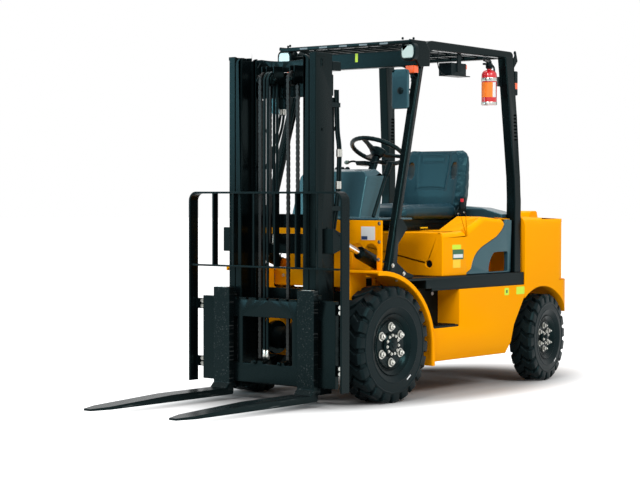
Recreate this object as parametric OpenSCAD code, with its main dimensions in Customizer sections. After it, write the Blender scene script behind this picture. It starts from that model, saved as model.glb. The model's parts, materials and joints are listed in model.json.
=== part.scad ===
/* [Layout] */
// Distance between the front and rear axles
wheelbase = 1630; // [1620:5:1650]
// Front axle centre to the front face of the fork shanks
fork_reach = 485; // [480:1:492]
// Front axle centre to the rear of the counterweight, past the rear axle
rear_overhang = 463; // [455:1:480]
// Half of the overall width, over the front tyres
half_width = 582; // [580:1:590]
// Half of the width of the frame sides
frame_half = 560; // [556:1:562]
// Underside of the frame above the floor
frame_low = 203; // [190:1:210]
// Top of the yellow frame sides
sill_top = 625; // [620:1:630]
// Height of the operator's floor
floor_top = 705; // [700:1:712]

/* [Tyres] */
// Outer radius of the front tyres, over the lugs
front_tyre_r = 335; // [330:1:338]
// Width of the front tyres
front_tyre_w = 188; // [180:1:190]
// Radius at which the front tyres sit on their rims
front_rim_r = 152; // [148:1:156]
// Outer radius of the rear tyres, over the lugs
rear_tyre_r = 278; // [272:1:280]
// Width of the rear tyres
rear_tyre_w = 158; // [150:1:160]
// Radius at which the rear tyres sit on their rims
rear_rim_r = 114; // [110:1:118]
// Depth of the tread lugs
lug_depth = 20; // [14:1:22]
// Number of tread lugs round one side of a front tyre
front_lugs = 22; // [16:1:24]
// Number of tread lugs round one side of a rear tyre
rear_lugs = 20; // [14:1:22]
// Radius of the front wheel spindles
front_spindle_r = 40; // [36:1:42]
// Radius of the rear wheel spindles
rear_spindle_r = 24; // [20:1:26]

/* [Mast] */
// Top of the mast rails when lowered
mast_top = 1992; // [1970:1:2000]
// Bottom of the outer mast rails
mast_low = 60; // [55:1:70]
// Half of the width over the outer mast rails
mast_half = 325; // [322:1:328]
// Front-to-back depth of the outer mast rails
rail_depth = 150; // [148:1:152]
// Front axle centre to the front of the mast rails
rail_front = 407; // [404:1:408]
// Width of one outer rail, across the truck
outer_rail_w = 45; // [43:1:46]
// Width of one inner rail, across the truck
inner_rail_w = 43; // [40:1:44]
// Wall of the rails
rail_wall = 14; // [12:1:15]
// Sideways clearance between the outer and inner rails
rail_gap = 5; // [5:0.5:6]
// Radius of the mast rollers
roller_r = 52; // [48:1:53]
// Radius of the lift cylinder barrels
lift_barrel_r = 33; // [31:1:33]
// Radius of the lift cylinder rods
lift_rod_r = 22; // [18:1:24]
// Front axle centre to the axis of the lift cylinders
lift_x = 212; // [208:1:212]
// Radius of the axle tube that the mast tilts on
trunnion_r = 66; // [60:1:68]

/* [Carriage] */
// Half of the width of the fork carriage
carriage_half = 498; // [490:1:502]
// Thickness of the carriage bars
bar_t = 32; // [28:1:33]
// Bottom of the lower carriage bar
lower_bar_z = 110; // [105:1:120]
// Height of each carriage bar
bar_h = 110; // [100:1:116]
// Top of the upper carriage bar
upper_bar_top = 599; // [590:1:605]
// Half of the width of the load backrest
backrest_half = 576; // [570:1:578]
// Top of the load backrest
backrest_top = 1209; // [1180:1:1230]
// Depth of the flat bars round the load backrest
backrest_d = 70; // [60:1:72]

/* [Forks] */
// Length of a fork ahead of its shank
fork_len = 1070; // [1000:5:1150]
// Width of a fork
fork_w = 122; // [100:1:125]
// Thickness of a fork
fork_t = 40; // [35:1:42]
// Distance of each fork's centre from the truck's centre
fork_y = 316; // [300:1:330]
// Underside of the forks above the floor
fork_low = 32; // [25:1:40]
// Thickness of a fork at its tip
tip_t = 12; // [10:1:16]

/* [Cab] */
// Top of the overhead guard
guard_top = 2107; // [2100:1:2115]
// Top of the front plate
cowl_top = 1043; // [1035:1:1046]
// Distance of the front plate behind the front axle
cowl_x = 20; // [16:1:24]
// Front of the hood behind the front axle
hood_front = 544; // [535:1:550]
// Half of the width of the hood
hood_half = 526; // [520:1:530]
// Underside of the hood sides
hood_low = 705.3; // [705:0.1:708]
// Wall of the hood
hood_wall = 14; // [8:1:16]
// Top of the seat cushion
cushion_top = 1140; // [1130:1:1146]
// Thickness of the seat cushion
cushion_t = 100; // [80:1:105]
// Width of the seat
seat_w = 500; // [460:1:520]
// Radius of the steering wheel
wheel_r = 180; // [170:1:190]
// Tilt of the steering wheel out of level
wheel_tilt = 27; // [22:1:32]
// Top of the counterweight
weight_top = 1056; // [1050:1:1062]

/* [Pose] */
// Angle that the rear wheels are steered to when parked
steer_rest = 8; // [-10:1:10]

/* [Hidden] */
$fn = 64;
seat_gap = 0.3;
axle_z = front_tyre_r;
rear_z = rear_tyre_r;
rear_x = -wheelbase;
fork_tip = fork_reach + fork_len;
truck_rear = -wheelbase - rear_overhang;
shift_x = -(fork_tip + truck_rear) / 2;
rail_back = rail_front - rail_depth;
rail_mid = rail_front - rail_depth / 2;
inner_out = mast_half - outer_rail_w - rail_gap;
inner_in = inner_out - inner_rail_w;
bar_back = fork_reach - fork_t - seat_gap - bar_t;
paint = "#FFA90A";
black = "#16191B";
slate = "#2C3A40";

module place() { translate([shift_x, 0, 0]) children(); }
module pair() {
    children();
    mirror([0, 1, 0]) children();
}
module block(x0, x1, y0, y1, z0, z1) {
    translate([x0, y0, z0]) cube([x1 - x0, y1 - y0, z1 - z0]);
}
module slab(points, y0, y1) {
    translate([0, y1, 0]) rotate([90, 0, 0]) linear_extrude(y1 - y0)
        polygon(points);
}
module cross_slab(points, x0, x1) {
    translate([x0, 0, 0]) rotate([90, 0, 90]) linear_extrude(x1 - x0)
        polygon(points);
}
module rod_y(x, z, r, y0, y1) {
    translate([x, y1, z]) rotate([90, 0, 0]) cylinder(h = y1 - y0, r = r);
}
module rod_x(y, z, r, x0, x1) {
    translate([x0, y, z]) rotate([0, 90, 0]) cylinder(h = x1 - x0, r = r);
}
module along(a, b) {
    d = b - a;
    translate(a) rotate([0, acos(d[2] / norm(d)), atan2(d[1], d[0])])
        linear_extrude(norm(d)) children();
}
module rod(a, b, r) { along(a, b) circle(r = r); }
module soft_square(w, h, r) {
    square([w - 2 * r, h], center = true);
    square([w, h - 2 * r], center = true);
    for (i = [-1, 1], j = [-1, 1])
        translate([i * (w / 2 - r), j * (h / 2 - r)]) circle(r = r, $fn = 24);
}
module round_edge(a, b, r, side) {
    along(a, b) mirror([0, (1 - side) / 2, 0]) difference() {
        translate([-1, -1]) square(r + 1);
        translate([r, r]) circle(r = r);
    }
}
function bend(a, b, c, n) =
    [for (i = [0:n]) let (t = i / n)
        (1 - t) * (1 - t) * a + 2 * t * (1 - t) * b + t * t * c];
function arc(cx, cz, rx, rz, from, to, n) =
    [for (i = [0:n]) let (a = from + (to - from) * i / n)
        [cx + rx * cos(a), cz + rz * sin(a)]];

// Frame: side tanks joined by cross plates
step_front = -402;
step_back = -678;
step_low = 402;
sill_back = -1404;
arch_x = rear_x + 18;
arch_z = rear_z - 21;
arch_r = 350;
tank_in = 330;
module sill_side() {
    slab([[step_front, frame_low], [rear_x + 409, frame_low],
          [rear_x + 350, 380], [sill_back, 557], [sill_back, sill_top],
          [step_back, sill_top], [step_back, step_low],
          [step_front, step_low]], tank_in, frame_half);
}
module sill_section() {
    crease_z = frame_low + 72;
    tuck = 26;
    cross_slab([[0, frame_low - 1], [frame_half - tuck, frame_low - 1],
                [frame_half, crease_z], [frame_half, sill_top + 1],
                [0, sill_top + 1]], sill_back - 10, step_front + 10);
}
side_plate_in = 340;
side_plate_out = 360;
module axle_plate() {
    difference() {
        slab([[150, 752], [150, 640], [100, 440], [100, 250], [-120, 215],
              [step_front, 215], [step_front, 620], [-cowl_x + 4, 640],
              [-cowl_x + 4, 752]], side_plate_in, side_plate_out);
        rod_y(0, axle_z, trunnion_r + seat_gap, 300, 400);
    }
}
module frame() {
    color(paint) place() {
        pair() {
            intersection() {
                sill_side();
                sill_section();
            }
            axle_plate();
        }
        block(step_front - 60, step_front, -side_plate_out, side_plate_out,
              frame_low + 20, frame_low + 45);
        block(-1290, -1250, -tank_in, tank_in, 300, 560);
        pair() {
            slab([[-156, 600], [-92, 600], [-98, 790], [-112, 806],
                  [-136, 806], [-150, 790]], side_plate_in,
                 side_plate_out);
            rod_y(tilt_pin[0], tilt_pin[2], pin_r, side_plate_in + 5, 402);
        }
    }
}

// Front fenders: a curved shell over each drive wheel
fender_in = 360;
fender_out = 580;
fender_cx = 130;
fender_cz = 300;
fender_rx = 527;
fender_rz = 460;
fender_t = 14;
lip_w = 12;
lip_drop = 12;
module fender_shape(t) {
    polygon(concat([[150, fender_cz + fender_rz - t]],
        arc(fender_cx, fender_cz, fender_rx - t, fender_rz - t, 90, 180, 14),
        [[fender_cx - fender_rx + t, 185 - t], [150, 185 - t]]));
}
module fenders() {
    color(paint) place() pair() {
        translate([0, fender_out, 0]) rotate([90, 0, 0])
            linear_extrude(fender_out - fender_in) difference() {
                fender_shape(0);
                fender_shape(fender_t);
                translate([-1000, -100]) square([2000, 285]);
            }
        translate([0, fender_out, 0]) rotate([90, 0, 0])
            linear_extrude(lip_w) difference() {
                fender_shape(0);
                fender_shape(fender_t + lip_drop);
                translate([-1000, -100]) square([2000, 285]);
            }
    }
}

// Front plate with the tilt cylinder openings, and its top shelf
plate_half = 468;
plate_t = 12;
plate_low = 650;
shelf_back = -340;
module cylinder_opening() {
    lobe_r = 47;
    for (y = [291, 390]) rod_x(y, 862, lobe_r, -60, 0);
    block(-60, 0, 250, 432, 757, 862);
}
module cowl() {
    color(paint) place() {
        difference() {
            union() {
                block(-cowl_x - plate_t, -cowl_x, -338, 338, plate_low,
                      cowl_top);
                block(-cowl_x - plate_t, -cowl_x, -plate_half, plate_half,
                      745, cowl_top);
            }
            pair() cylinder_opening();
        }
        pair() slab([[-cowl_x - plate_t, floor_top],
                     [-230, floor_top], [-150, 980],
                     [-150, cowl_top], [-cowl_x - plate_t, cowl_top]],
                    235, 241);
    }
}

strip_in = frame_half - 60;
edge_out = frame_half - 8;

// Floor plate, black floor edges and the step boxes let into the frame
module floor_plate() {
    color(black) place() {
        block(-160, -cowl_x - plate_t, -338, 338, floor_top - 15,
              floor_top);
        block(-hood_front + 6, -160, -plate_half, plate_half,
              floor_top - 15, floor_top);
        pair() {
            block(sill_back, step_front, strip_in, edge_out, sill_top,
                  floor_top);
            block(-hood_front + 6, -156, plate_half, edge_out, floor_top - 15,
                  floor_top);
            block(step_front, step_front + 60, 420, edge_out, 640,
                  floor_top - 15);
            block(step_back, step_front, 392, 400, step_low,
                  floor_top - 15);
            block(step_back, step_front, 400, edge_out, step_low,
                  step_low + 12);
        }
    }
}

// Dark moulded console behind the front plate
module dashboard() {
    color(slate) place() {
        block(shelf_back, -cowl_x - 2, -455, 455, cowl_top,
              cowl_top + 14);
        difference() {
            intersection() {
                slab([[-80, cowl_top + 14], [-165, 1330], [-300, 1345],
                      [-330, 1310], [-271, cowl_top + 14]], -265, 265);
                cross_slab([[-262, cowl_top + 14], [262, cowl_top + 14],
                            [254, 1300], [215, 1345], [-215, 1345],
                            [-254, 1300]], -400, 0);
            }
            for (y = [-150, -50, 50, 150])
                rod([-62, y, 1080], [-150, y, 1350], 16);
        }
    }
}

// Steering column from the console to the wheel
hub = [-600, 0, 1462];
col_dir = [-sin(wheel_tilt), 0, cos(wheel_tilt)];
module steering_column() {
    color(black) place() {
        rod(hub - 200 * col_dir, hub - 40.3 * col_dir, 24);
        slab([[-300.2, 1345.2], [-330.2, 1310.2], [-545, 1275], [-575, 1300],
              [-520, 1330]], -38, 38);
        slab([[-480, 1400], [-500, 1372], [-600, 1366], [-612, 1392]],
             -95, -10);
    }
}

// Pedals, hydraulic levers and the parking brake lever
module controls() {
    color(black) place() {
        for (y = [-190, -70, 110]) {
            rod([-70, y, 1000], [-190, y, 800], 8);
            block(-215, -165, y - 30, y + 30, 786, 800);
            block(-80, -cowl_x - plate_t, y - 14, y + 14, 985, 1015);
        }
        rod([-120, 330, cowl_top + 19.2], [-256, 330, 1330], 11);
        translate([-262, 330, 1342]) rotate([0, -30, 0])
            cylinder(h = 90, r = 17, center = true);
        for (y = [-210, -170, -130])
            rod([-332.6, y, 1303.5], [-450, y, 1345], 7);
    }
}

// Engine and transmission, one plain block
module engine() {
    color("#33383B") place() {
        block(-1180, -600, -230, 230, 330, 880);
        block(-600, -330, -150, 150, 256, 600);
    }
}

// Drive axle: tube, bevel gear housing, brake plates and spindles
module drive_axle() {
    brake_in = side_plate_out + 2;
    brake_out = brake_in + 26;
    brake_r = 130;
    end = half_width - 50;
    case_r = 155;
    half_outline = [[front_spindle_r, end], [front_spindle_r, brake_out],
                    [brake_r, brake_out], [brake_r, brake_in],
                    [trunnion_r, brake_in], [trunnion_r, 215],
                    [case_r - 15, 110], [case_r, 30]];
    n = len(half_outline) - 1;
    color(black) place() {
        translate([0, 0, axle_z]) rotate([90, 0, 0]) rotate([0, 0, 90])
            rotate_extrude() polygon(concat([[0, end]], half_outline,
                [for (i = [n:-1:0])
                    [half_outline[i][0], -half_outline[i][1]]],
                [[0, -end]]));
        translate([-330, 0, axle_z]) rotate([0, 90, 0]) rotate([0, 0, 40])
            cylinder(h = 230, r = 78);
    }
}

// Wheels: each tyre is a ring of outlines, raised on a lug and sunk between
bead_gap = 1.2;
bead_in = 36;
module tyre(r, w, bead, lugs) {
    low = r - lug_depth;
    bore = bead + bead_gap;
    rows = [
        [bore, bore, -w / 2 + bead_in, 0],
        [bead + 60, bead + 60, -w / 2, 0],
        [r - 16, low - 18, -w / 2 + 4, 0],
        [r, low, -w / 2 + 18, 0],
        [r, low, -w * 0.08, 0.3],
        [r, low, w * 0.08, 0.8],
        [r, low, w / 2 - 18, 0.5],
        [r - 16, low - 18, w / 2 - 4, 0.5],
        [bead + 60, bead + 60, w / 2, 0.5],
        [bore, bore, w / 2 - bead_in, 0.5]
    ];
    stations = [0, 0.68, 0.84];
    n = len(rows);
    turns = 3 * lugs;
    points = [for (v = [0:turns - 1], row = rows)
        let (share = v % 3,
             radius = share == 2 ? row[1] : row[0],
             a = (floor(v / 3) + stations[share] + row[3]) * 360 / lugs)
        [radius * sin(a), row[2], -radius * cos(a)]];
    faces = [for (v = [0:turns - 1], u = [0:n - 1], half = [0, 1])
        let (a = v * n + u, b = v * n + (u + 1) % n,
             c = ((v + 1) % turns) * n + (u + 1) % n,
             d = ((v + 1) % turns) * n + u)
        half == 0 ? [a, b, c] : [a, c, d]];
    polyhedron(points, faces);
}
module rim(bead, w, spindle, disc, hub_r, hub_in, nut_r, nut_ring) {
    dish = w / 2 - disc;
    seat = w / 2 - bead_in;
    lip = bead + 22;
    lip_y = seat + 14.6;
    rotate([90, 0, 0]) rotate_extrude()
        polygon([[bead, -seat - 1.4], [bead, seat + 1.4],
                 [lip, lip_y], [lip + 4, lip_y + 6], [lip - 1, lip_y + 9],
                 [bead + 1, seat + 12], [bead - 9, seat + 2],
                 [bead - 9, -dish + 12],
                 [hub_r, -dish + 12], [hub_r, hub_in],
                 [spindle + seat_gap, hub_in],
                 [spindle + seat_gap, -dish - 16],
                 [hub_r - 8, -dish - 16], [hub_r, -dish - 8],
                 [hub_r, -dish], [bead - 26, -dish], [bead - 16, -dish - 8],
                 [bead - 9, -seat - 2], [bead + 1, -seat - 12],
                 [lip - 1, -lip_y - 9], [lip + 4, -lip_y - 6],
                 [lip, -lip_y]]);
    for (i = [0:5]) rotate([0, i * 60 + 30, 0])
        translate([nut_ring, dish - 1, 0]) rotate([-90, 0, 0])
            cylinder(h = 17, r = nut_r, $fn = 6);
}
front_mid = half_width - front_tyre_w / 2;
rear_mid = half_width - 2 - rear_tyre_w / 2;
module front_tyre_at() {
    translate([0, front_mid, axle_z])
        tyre(front_tyre_r, front_tyre_w, front_rim_r, front_lugs);
}
module front_rim_at() {
    translate([0, front_mid, axle_z])
        rim(front_rim_r, front_tyre_w, front_spindle_r, 34, 72, 60, 17, 102);
}
module steered(side) {
    translate([rear_x, side * kingpin_y, 0]) rotate([0, 0, steer_rest])
        mirror([0, (1 - side) / 2, 0])
            translate([-rear_x, -kingpin_y, 0]) children();
}
module rear_tyre_at() {
    translate([rear_x, rear_mid, rear_z])
        tyre(rear_tyre_r, rear_tyre_w, rear_rim_r, rear_lugs);
}
module rear_rim_at() {
    translate([rear_x, rear_mid, rear_z])
        rim(rear_rim_r, rear_tyre_w, rear_spindle_r, 36, 48, 12, 11, 74);
}
module tyre_front_left() { color(black) place() front_tyre_at(); }
module tyre_front_right() {
    color(black) place() mirror([0, 1, 0]) front_tyre_at();
}
module tyre_rear_left() { color(black) place() steered(1) rear_tyre_at(); }
module tyre_rear_right() { color(black) place() steered(-1) rear_tyre_at(); }
module rim_front_left() { color(black) place() front_rim_at(); }
module rim_front_right() {
    color(black) place() mirror([0, 1, 0]) front_rim_at();
}
module rim_rear_left() { color(black) place() steered(1) rear_rim_at(); }
module rim_rear_right() { color(black) place() steered(-1) rear_rim_at(); }

// Steer axle: twin plates with the steering cylinder between them
kingpin_y = 400;
kingpin_r = 16;
plate_gap = 34;
beam_t = 14;
trunnion_z = rear_z + plate_gap + beam_t + 36;
swing_r = 26;
module steer_axle() {
    color(black) place() {
        for (z = [rear_z - plate_gap - beam_t, rear_z + plate_gap])
            block(rear_x - 45, rear_x + 45, -360, 360, z, z + beam_t);
        block(rear_x + 10, rear_x + 34, -300, 300, rear_z - plate_gap,
              rear_z + plate_gap);
        rod_y(rear_x - 12, rear_z, 30, -170, 170);
        rod_y(rear_x - 12, rear_z, 13, -320, 320);
        pair() difference() {
            union() {
                translate([rear_x, kingpin_y, rear_z - plate_gap - beam_t])
                    cylinder(h = 2 * (plate_gap + beam_t), r = 30);
                block(rear_x - 26, rear_x + 26, 345, kingpin_y - 10,
                      rear_z - plate_gap, rear_z + plate_gap);
            }
            translate([rear_x, kingpin_y, rear_z - 80])
                cylinder(h = 160, r = kingpin_r + seat_gap);
        }
        block(rear_x - 60, rear_x + 60, -40, 40,
              rear_z + plate_gap + beam_t, trunnion_z);
        rod_x(0, trunnion_z, swing_r, rear_x - 138, rear_x + 138);
    }
}
module knuckle() {
    ear_in = rear_z + plate_gap + beam_t + 2;
    low_in = rear_z - plate_gap - beam_t - 2;
    ear_t = 16;
    hub_face = kingpin_y + 36;
    translate([rear_x, kingpin_y, low_in - ear_t])
        cylinder(h = ear_in - low_in + 2 * ear_t, r = kingpin_r);
    for (z = [ear_in, low_in - ear_t]) {
        translate([rear_x, kingpin_y, z]) cylinder(h = ear_t, r = 30);
        block(rear_x - 30, rear_x + 30, kingpin_y, hub_face + 14, z,
              z + ear_t);
    }
    block(rear_x - 30, rear_x + 30, hub_face, hub_face + 14,
          low_in - ear_t, ear_in + ear_t);
    rod_y(rear_x, rear_z, rear_spindle_r, hub_face + 10,
          half_width - 40);
}
module knuckle_left() { color(black) place() steered(1) knuckle(); }
module knuckle_right() { color(black) place() steered(-1) knuckle(); }

// Counterweight: rounded casting, arched over the rear wheels
ledge_z = 645;
weight_low = 190;
step_in = 45;
corner_r = 150;
corner_y = frame_half - corner_r;
corner_x = truck_rear + 251;
bow_r = 1033;
tow_z = 330;
bay_low = 650;
tow_r = 13;
module weight_plan(shrink) {
    bow_x = truck_rear + bow_r;
    difference() {
        translate([shrink, 0]) union() {
            translate([corner_x, -frame_half])
                square([sill_back - corner_x + 100, 2 * frame_half]);
            for (s = [-1, 1]) translate([corner_x, s * corner_y])
                circle(r = corner_r);
            intersection() {
                translate([bow_x, 0]) circle(r = bow_r, $fn = 160);
                polygon([[bow_x, 0],
                         [bow_x - 2 * (bow_x - corner_x), 2 * corner_y],
                         [bow_x - 2 * (bow_x - corner_x), -2 * corner_y]]);
            }
        }
        translate([sill_back, -600]) square([900, 1200]);
    }
}
module axle_hangers() {
    for (s = [-1, 1]) difference() {
        block(rear_x + s * 120 - 14, rear_x + s * 120 + 14, -60, 60,
              trunnion_z - 50, bay_low - 10);
        rod_x(0, trunnion_z, swing_r + seat_gap, rear_x - 200,
              rear_x + 200);
    }
}
module counterweight() {
    color(paint) place() axle_hangers();
    color(paint) place() difference() {
        union() {
            translate([0, 0, weight_low]) linear_extrude(ledge_z - weight_low)
                weight_plan(0);
            intersection() {
                translate([0, 0, ledge_z - 1])
                    linear_extrude(weight_top - ledge_z + 1)
                        weight_plan(step_in);
                slab([[sill_back + 5, ledge_z - 2],
                      [truck_rear - 5, ledge_z - 2], [truck_rear - 5, 960],
                      [truck_rear + 60, 1010], [truck_rear + 140, 1034],
                      [sill_back + 5, weight_top]], -600, 600);
                cross_slab([[-frame_half, ledge_z - 2],
                            [frame_half, ledge_z - 2],
                            [frame_half, 1000], [frame_half - 14, 1034],
                            [frame_half - 45, weight_top],
                            [-frame_half + 45, weight_top],
                            [-frame_half + 14, 1034], [-frame_half, 1000]],
                           truck_rear - 5, sill_back + 5);
            }
            pair() slab([[-1890, 1030], [-1876, 1076], [-1862, 1087],
                         [-1815, 1087], [-1790, 1076], [-1765, 1036]],
                        240, 350);
        }
        for (i = [0:4])
            block(truck_rear - 10, truck_rear + step_in + 60, -190, 190,
                  720 + i * 48, 744 + i * 48);
        rod_y(arch_x, arch_z, arch_r, -600, 600);
        rod_y(arch_x, arch_z, arch_r + 24, -500, 500);
        block(rear_x, sill_back + 5, -600, 600, 0, arch_z);
        pair() slab([[truck_rear - 10, 100], [rear_x, 100],
                     [rear_x, 300], [truck_rear + 180, 430],
                     [truck_rear - 10, 430]], 360, 700);
        block(sill_back - 120, sill_back + 10, -300, 300, bay_low,
              weight_top + 10);
        block(truck_rear - 10, truck_rear + 70, -45, 45, tow_z, tow_z + 80);
        translate([truck_rear + step_in / 2, 0, tow_z - 60])
            cylinder(h = ledge_z - tow_z + 70, r = tow_r);
    }
}

// Dark side covers behind the hood, and the cover over the radiator
module engine_covers() {
    cover_out = hood_half - 6;
    cover_in = cover_out - 28;
    seam_gap = 7;
    cover_low = floor_top + seat_gap;
    seam = [for (p = hood_seam) [p[0] - seam_gap, p[1]]];
    color(slate) place() {
        pair() difference() {
            slab(concat([[-800 - seam_gap, cover_low], [-1296, cover_low],
                         [-1310, 1034], [-1262, 1040]],
                        [[-1226, 1004]], seam), cover_in, cover_out);
            slab(concat([[-1052, 716], [-1262, 716]],
                        [[-1262, 836], [-1150, 836]],
                        bend([-1110, 832], [-1064, 800], [-1052, 740], 4)),
                 400, 600);
        }
        intersection() {
            slab([[-1283, 1044], [-1400, weight_top + seat_gap],
                  [-1440, weight_top + seat_gap], [-1440, 1085],
                  [-1405, 1112], [-1310, 1122], [-1283, 1100]],
                 -460, 460);
            cross_slab([[-460, 1040], [460, 1040], [460, 1070],
                        [300, 1110], [150, 1122], [-150, 1122],
                        [-300, 1110], [-460, 1070]], -1500, -1200);
        }
    }
}

// Overhead guard: leaning front pillars, rear pillars and roof frame
foot_out = frame_half - 15;
foot_in = foot_out - 67;
front_foot = [-39, frame_half - 63, 742];
front_head = [-402, frame_half - 108, guard_top - 145];
roof_half = frame_half - 70;
roof_in = roof_half - 46;
roof_low = guard_top - 58;
rear_knee = [-1332, 1300];
rear_top = [-1262, guard_top - 50];
rear_heel = [-1402, rear_knee[1]];
rear_crown = [-1350, rear_top[1]];
function front_pillar_at(z) = front_foot
    + (front_head - front_foot) * (z - front_foot[2])
      / (front_head[2] - front_foot[2]);
function rear_back_x(z) = rear_heel[0]
    + (rear_crown[0] - rear_heel[0]) * (z - rear_heel[1])
      / (rear_crown[1] - rear_heel[1]);
function rear_pillar_x(z) = rear_knee[0]
    + (rear_top[0] - rear_knee[0]) * (z - rear_knee[1])
      / (rear_top[1] - rear_knee[1]);
module guard_roof_side() {
    corner_r = 90;
    inner_r = 36;
    corner = [-488, guard_top - 2 - corner_r];
    slab(concat([[corner[0] + corner_r, front_head[2] - 6]],
                arc(corner[0], corner[1], corner_r, corner_r, 0, 90, 8),
                arc(-1336, guard_top - 42, 28, 28, 90, 180, 5),
                [[-1352, roof_low]],
                arc(-500, roof_low - inner_r, inner_r, inner_r, 90, 0, 5),
                [[-464, front_head[2] - 6]]), roof_in, roof_half);
}
module rear_pillar() {
    difference() {
        intersection() {
            slab([[-1304, floor_top], [-1372, floor_top],
                  [rear_heel[0], rear_knee[1] - 140], rear_heel,
                  rear_crown, rear_top, rear_knee,
                  [-1334, rear_knee[1] - 140]], 400, 600);
            cross_slab([[foot_in, floor_top - 5], [foot_out, floor_top - 5],
                        [foot_out - 19, 1200], [roof_half + 10, guard_top - 40],
                        [roof_half - 50, guard_top - 40], [foot_in - 16, 1200]],
                       -1500, -1200);
        }
        for (i = [0:7])
            block(-1371, -1341, 400, 600, guard_top - 571 + i * 22,
                  guard_top - 564 + i * 22);
    }
}
header_low = front_head[2] - 12;
header_r = 90;
post_in = front_head[1] - 22;
module overhead_guard() {
    color(black) place() {
        pair() {
            along(front_foot, front_head) soft_square(50, 50, 14);
            rear_pillar();
            guard_roof_side();
            slab([[-250, guard_top - 10], [-400, guard_top - 10],
                  [-440, guard_top - 60], [-440, front_head[2] - 12],
                  [-340, front_head[2] - 18], [-300, guard_top - 117],
                  [-300, guard_top - 38], [-250, guard_top - 26]],
                 roof_half, roof_half + 14);
            slab([[-100, 1052], [-150, 1052], [-199, 994], [-112, 908],
                  [-100, 800], [-194, 742], [-258, 724],
                  [-258, floor_top], [-156, floor_top], [-118, 716],
                  [-80, 730], [-40, 746]], frame_half - 46,
                 frame_half - 38);
            slab(concat([[-1290, guard_top - 118], [-1352, guard_top - 60],
                         [-1372, guard_top - 34]],
                        arc(-1376, guard_top - 20, 14, 14, -60, 200, 6),
                        [[-1404, guard_top - 70], [-1340, guard_top - 140]]),
                 roof_half, roof_half + 8);
        }
        block(-400, -340, -roof_half, roof_half, header_low,
              guard_top - 61);
        pair() cross_slab(concat([[post_in + 10, header_low + 5],
                                  [post_in - header_r, header_low + 5]],
                                 arc(post_in - header_r,
                                     header_low - header_r,
                                     header_r, header_r, 90, 0, 8),
                                 [[post_in + 10, header_low - header_r]]),
                          -394, -352);
        block(-300, -250, -roof_half, roof_half, guard_top - 36,
              guard_top - 12);
        block(-1350, -1300, -roof_in, roof_in, roof_low, guard_top - 14);
        for (x = [-640, -960])
            block(x - 12, x + 12, -roof_in, roof_in, roof_low,
                  guard_top - 43);
    }
}
module guard_bars() {
    color(black) place() {
        for (i = [-3.5:3.5])
            block(-1300, -300, i * 104 - 6, i * 104 + 6, guard_top - 42.7,
                  guard_top - 16);
    }
}

// Alarm and beacon box under the roof, on its own bracket
beacon_low = guard_top - 187;
module beacon() {
    color(black) place() {
        block(-905, -745, roof_in - 92, roof_in + 2, beacon_low,
              beacon_low + 74);
        block(-840, -800, roof_in + 2, roof_in + 10, beacon_low + 20,
              roof_low - seat_gap);
        block(-950, -745, roof_in - 92, roof_in + 2, beacon_low - 5,
              beacon_low + 1);
    }
}

// Lamps, mirrors and the extinguisher on the guard
lamp_y = roof_half - 18;
module headlamps() {
    color("#D9E2E2") place() pair() {
        intersection() {
            block(-300, -262, lamp_y - 48, lamp_y + 48, guard_top - 117,
                  guard_top - 39);
            rod_x(lamp_y, guard_top - 78, 56, -400, -200);
        }
    }
}
tail_low = guard_top - 285;
tail_x = rear_back_x(tail_low) - seat_gap;
module signal_lamps() {
    color("#FF6A1A") place() {
        pair() {
            block(-348, -304, roof_half - 65, roof_half - seat_gap,
                  front_head[2] - 56, front_head[2] - 12.3);
            block(tail_x - 34, tail_x, roof_half - 35, roof_half + 10,
                  tail_low, tail_low + 150);
        }
        block(-938, -905 - seat_gap, roof_in - 64, roof_in - 14, beacon_low + 42,
              beacon_low + 72);
    }
}
mirror_z = guard_top - 297;
module mirror_head(y, w, h) {
    translate([-262, y, mirror_z]) rotate([90, 0, 90]) linear_extrude(22)
        soft_square(w, h, 22);
}
module mirrors() {
    stalk = front_pillar_at(mirror_z) + [25.1, -24, 0];
    stalk_far = front_pillar_at(mirror_z) + [29.2, 4, 0];
    color(slate) place() {
        mirror_head(roof_half - 60, 116, 232);
        rod(stalk, [-254, roof_half - 54, mirror_z], 6);
        mirror([0, 1, 0]) {
            mirror_head(roof_half + 12, 116, 246);
            rod(stalk_far, [-254, roof_half + 10, mirror_z], 6);
        }
    }
}
bottle_low = guard_top - 356;
bottle_y = roof_half - 50;
module fire_extinguisher() {
    bottle_r = 48;
    bottle_x = -1166;
    clamp_z = bottle_low + 150;
    color("#D81E2A") place() {
        translate([bottle_x, bottle_y, bottle_low]) rotate_extrude()
            polygon(concat([[0, 0], [bottle_r - 6, 0], [bottle_r, 8],
                            [bottle_r, 186]],
                           arc(14, 186, bottle_r - 14, 34, 0, 90, 5),
                           [[14, 240], [20, 244], [20, 262], [0, 262]]));
        block(rear_pillar_x(clamp_z + 30) + seat_gap, bottle_x - bottle_r + 6,
              bottle_y + 12, bottle_y + 28, clamp_z - 30, clamp_z + 30);
        slab([[bottle_x - 18, bottle_low + 256],
              [bottle_x + 60, bottle_low + 272],
              [bottle_x + 60, bottle_low + 284],
              [bottle_x - 18, bottle_low + 276]],
             bottle_y - 8, bottle_y + 8);
    }
}

// Steering wheel: rim, spokes and hub
module steering_wheel() {
    color(black) place() translate(hub) rotate([0, -wheel_tilt, 0]) {
        rotate_extrude() translate([wheel_r - 14, 0])
            circle(r = 14, $fn = 24);
        translate([0, 0, -40]) cylinder(h = 46, r = 34);
        for (a = [0, 120, 240]) rotate([0, 0, a])
            translate([20, -14, -14]) cube([wheel_r - 40, 28, 14]);
    }
}

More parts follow.
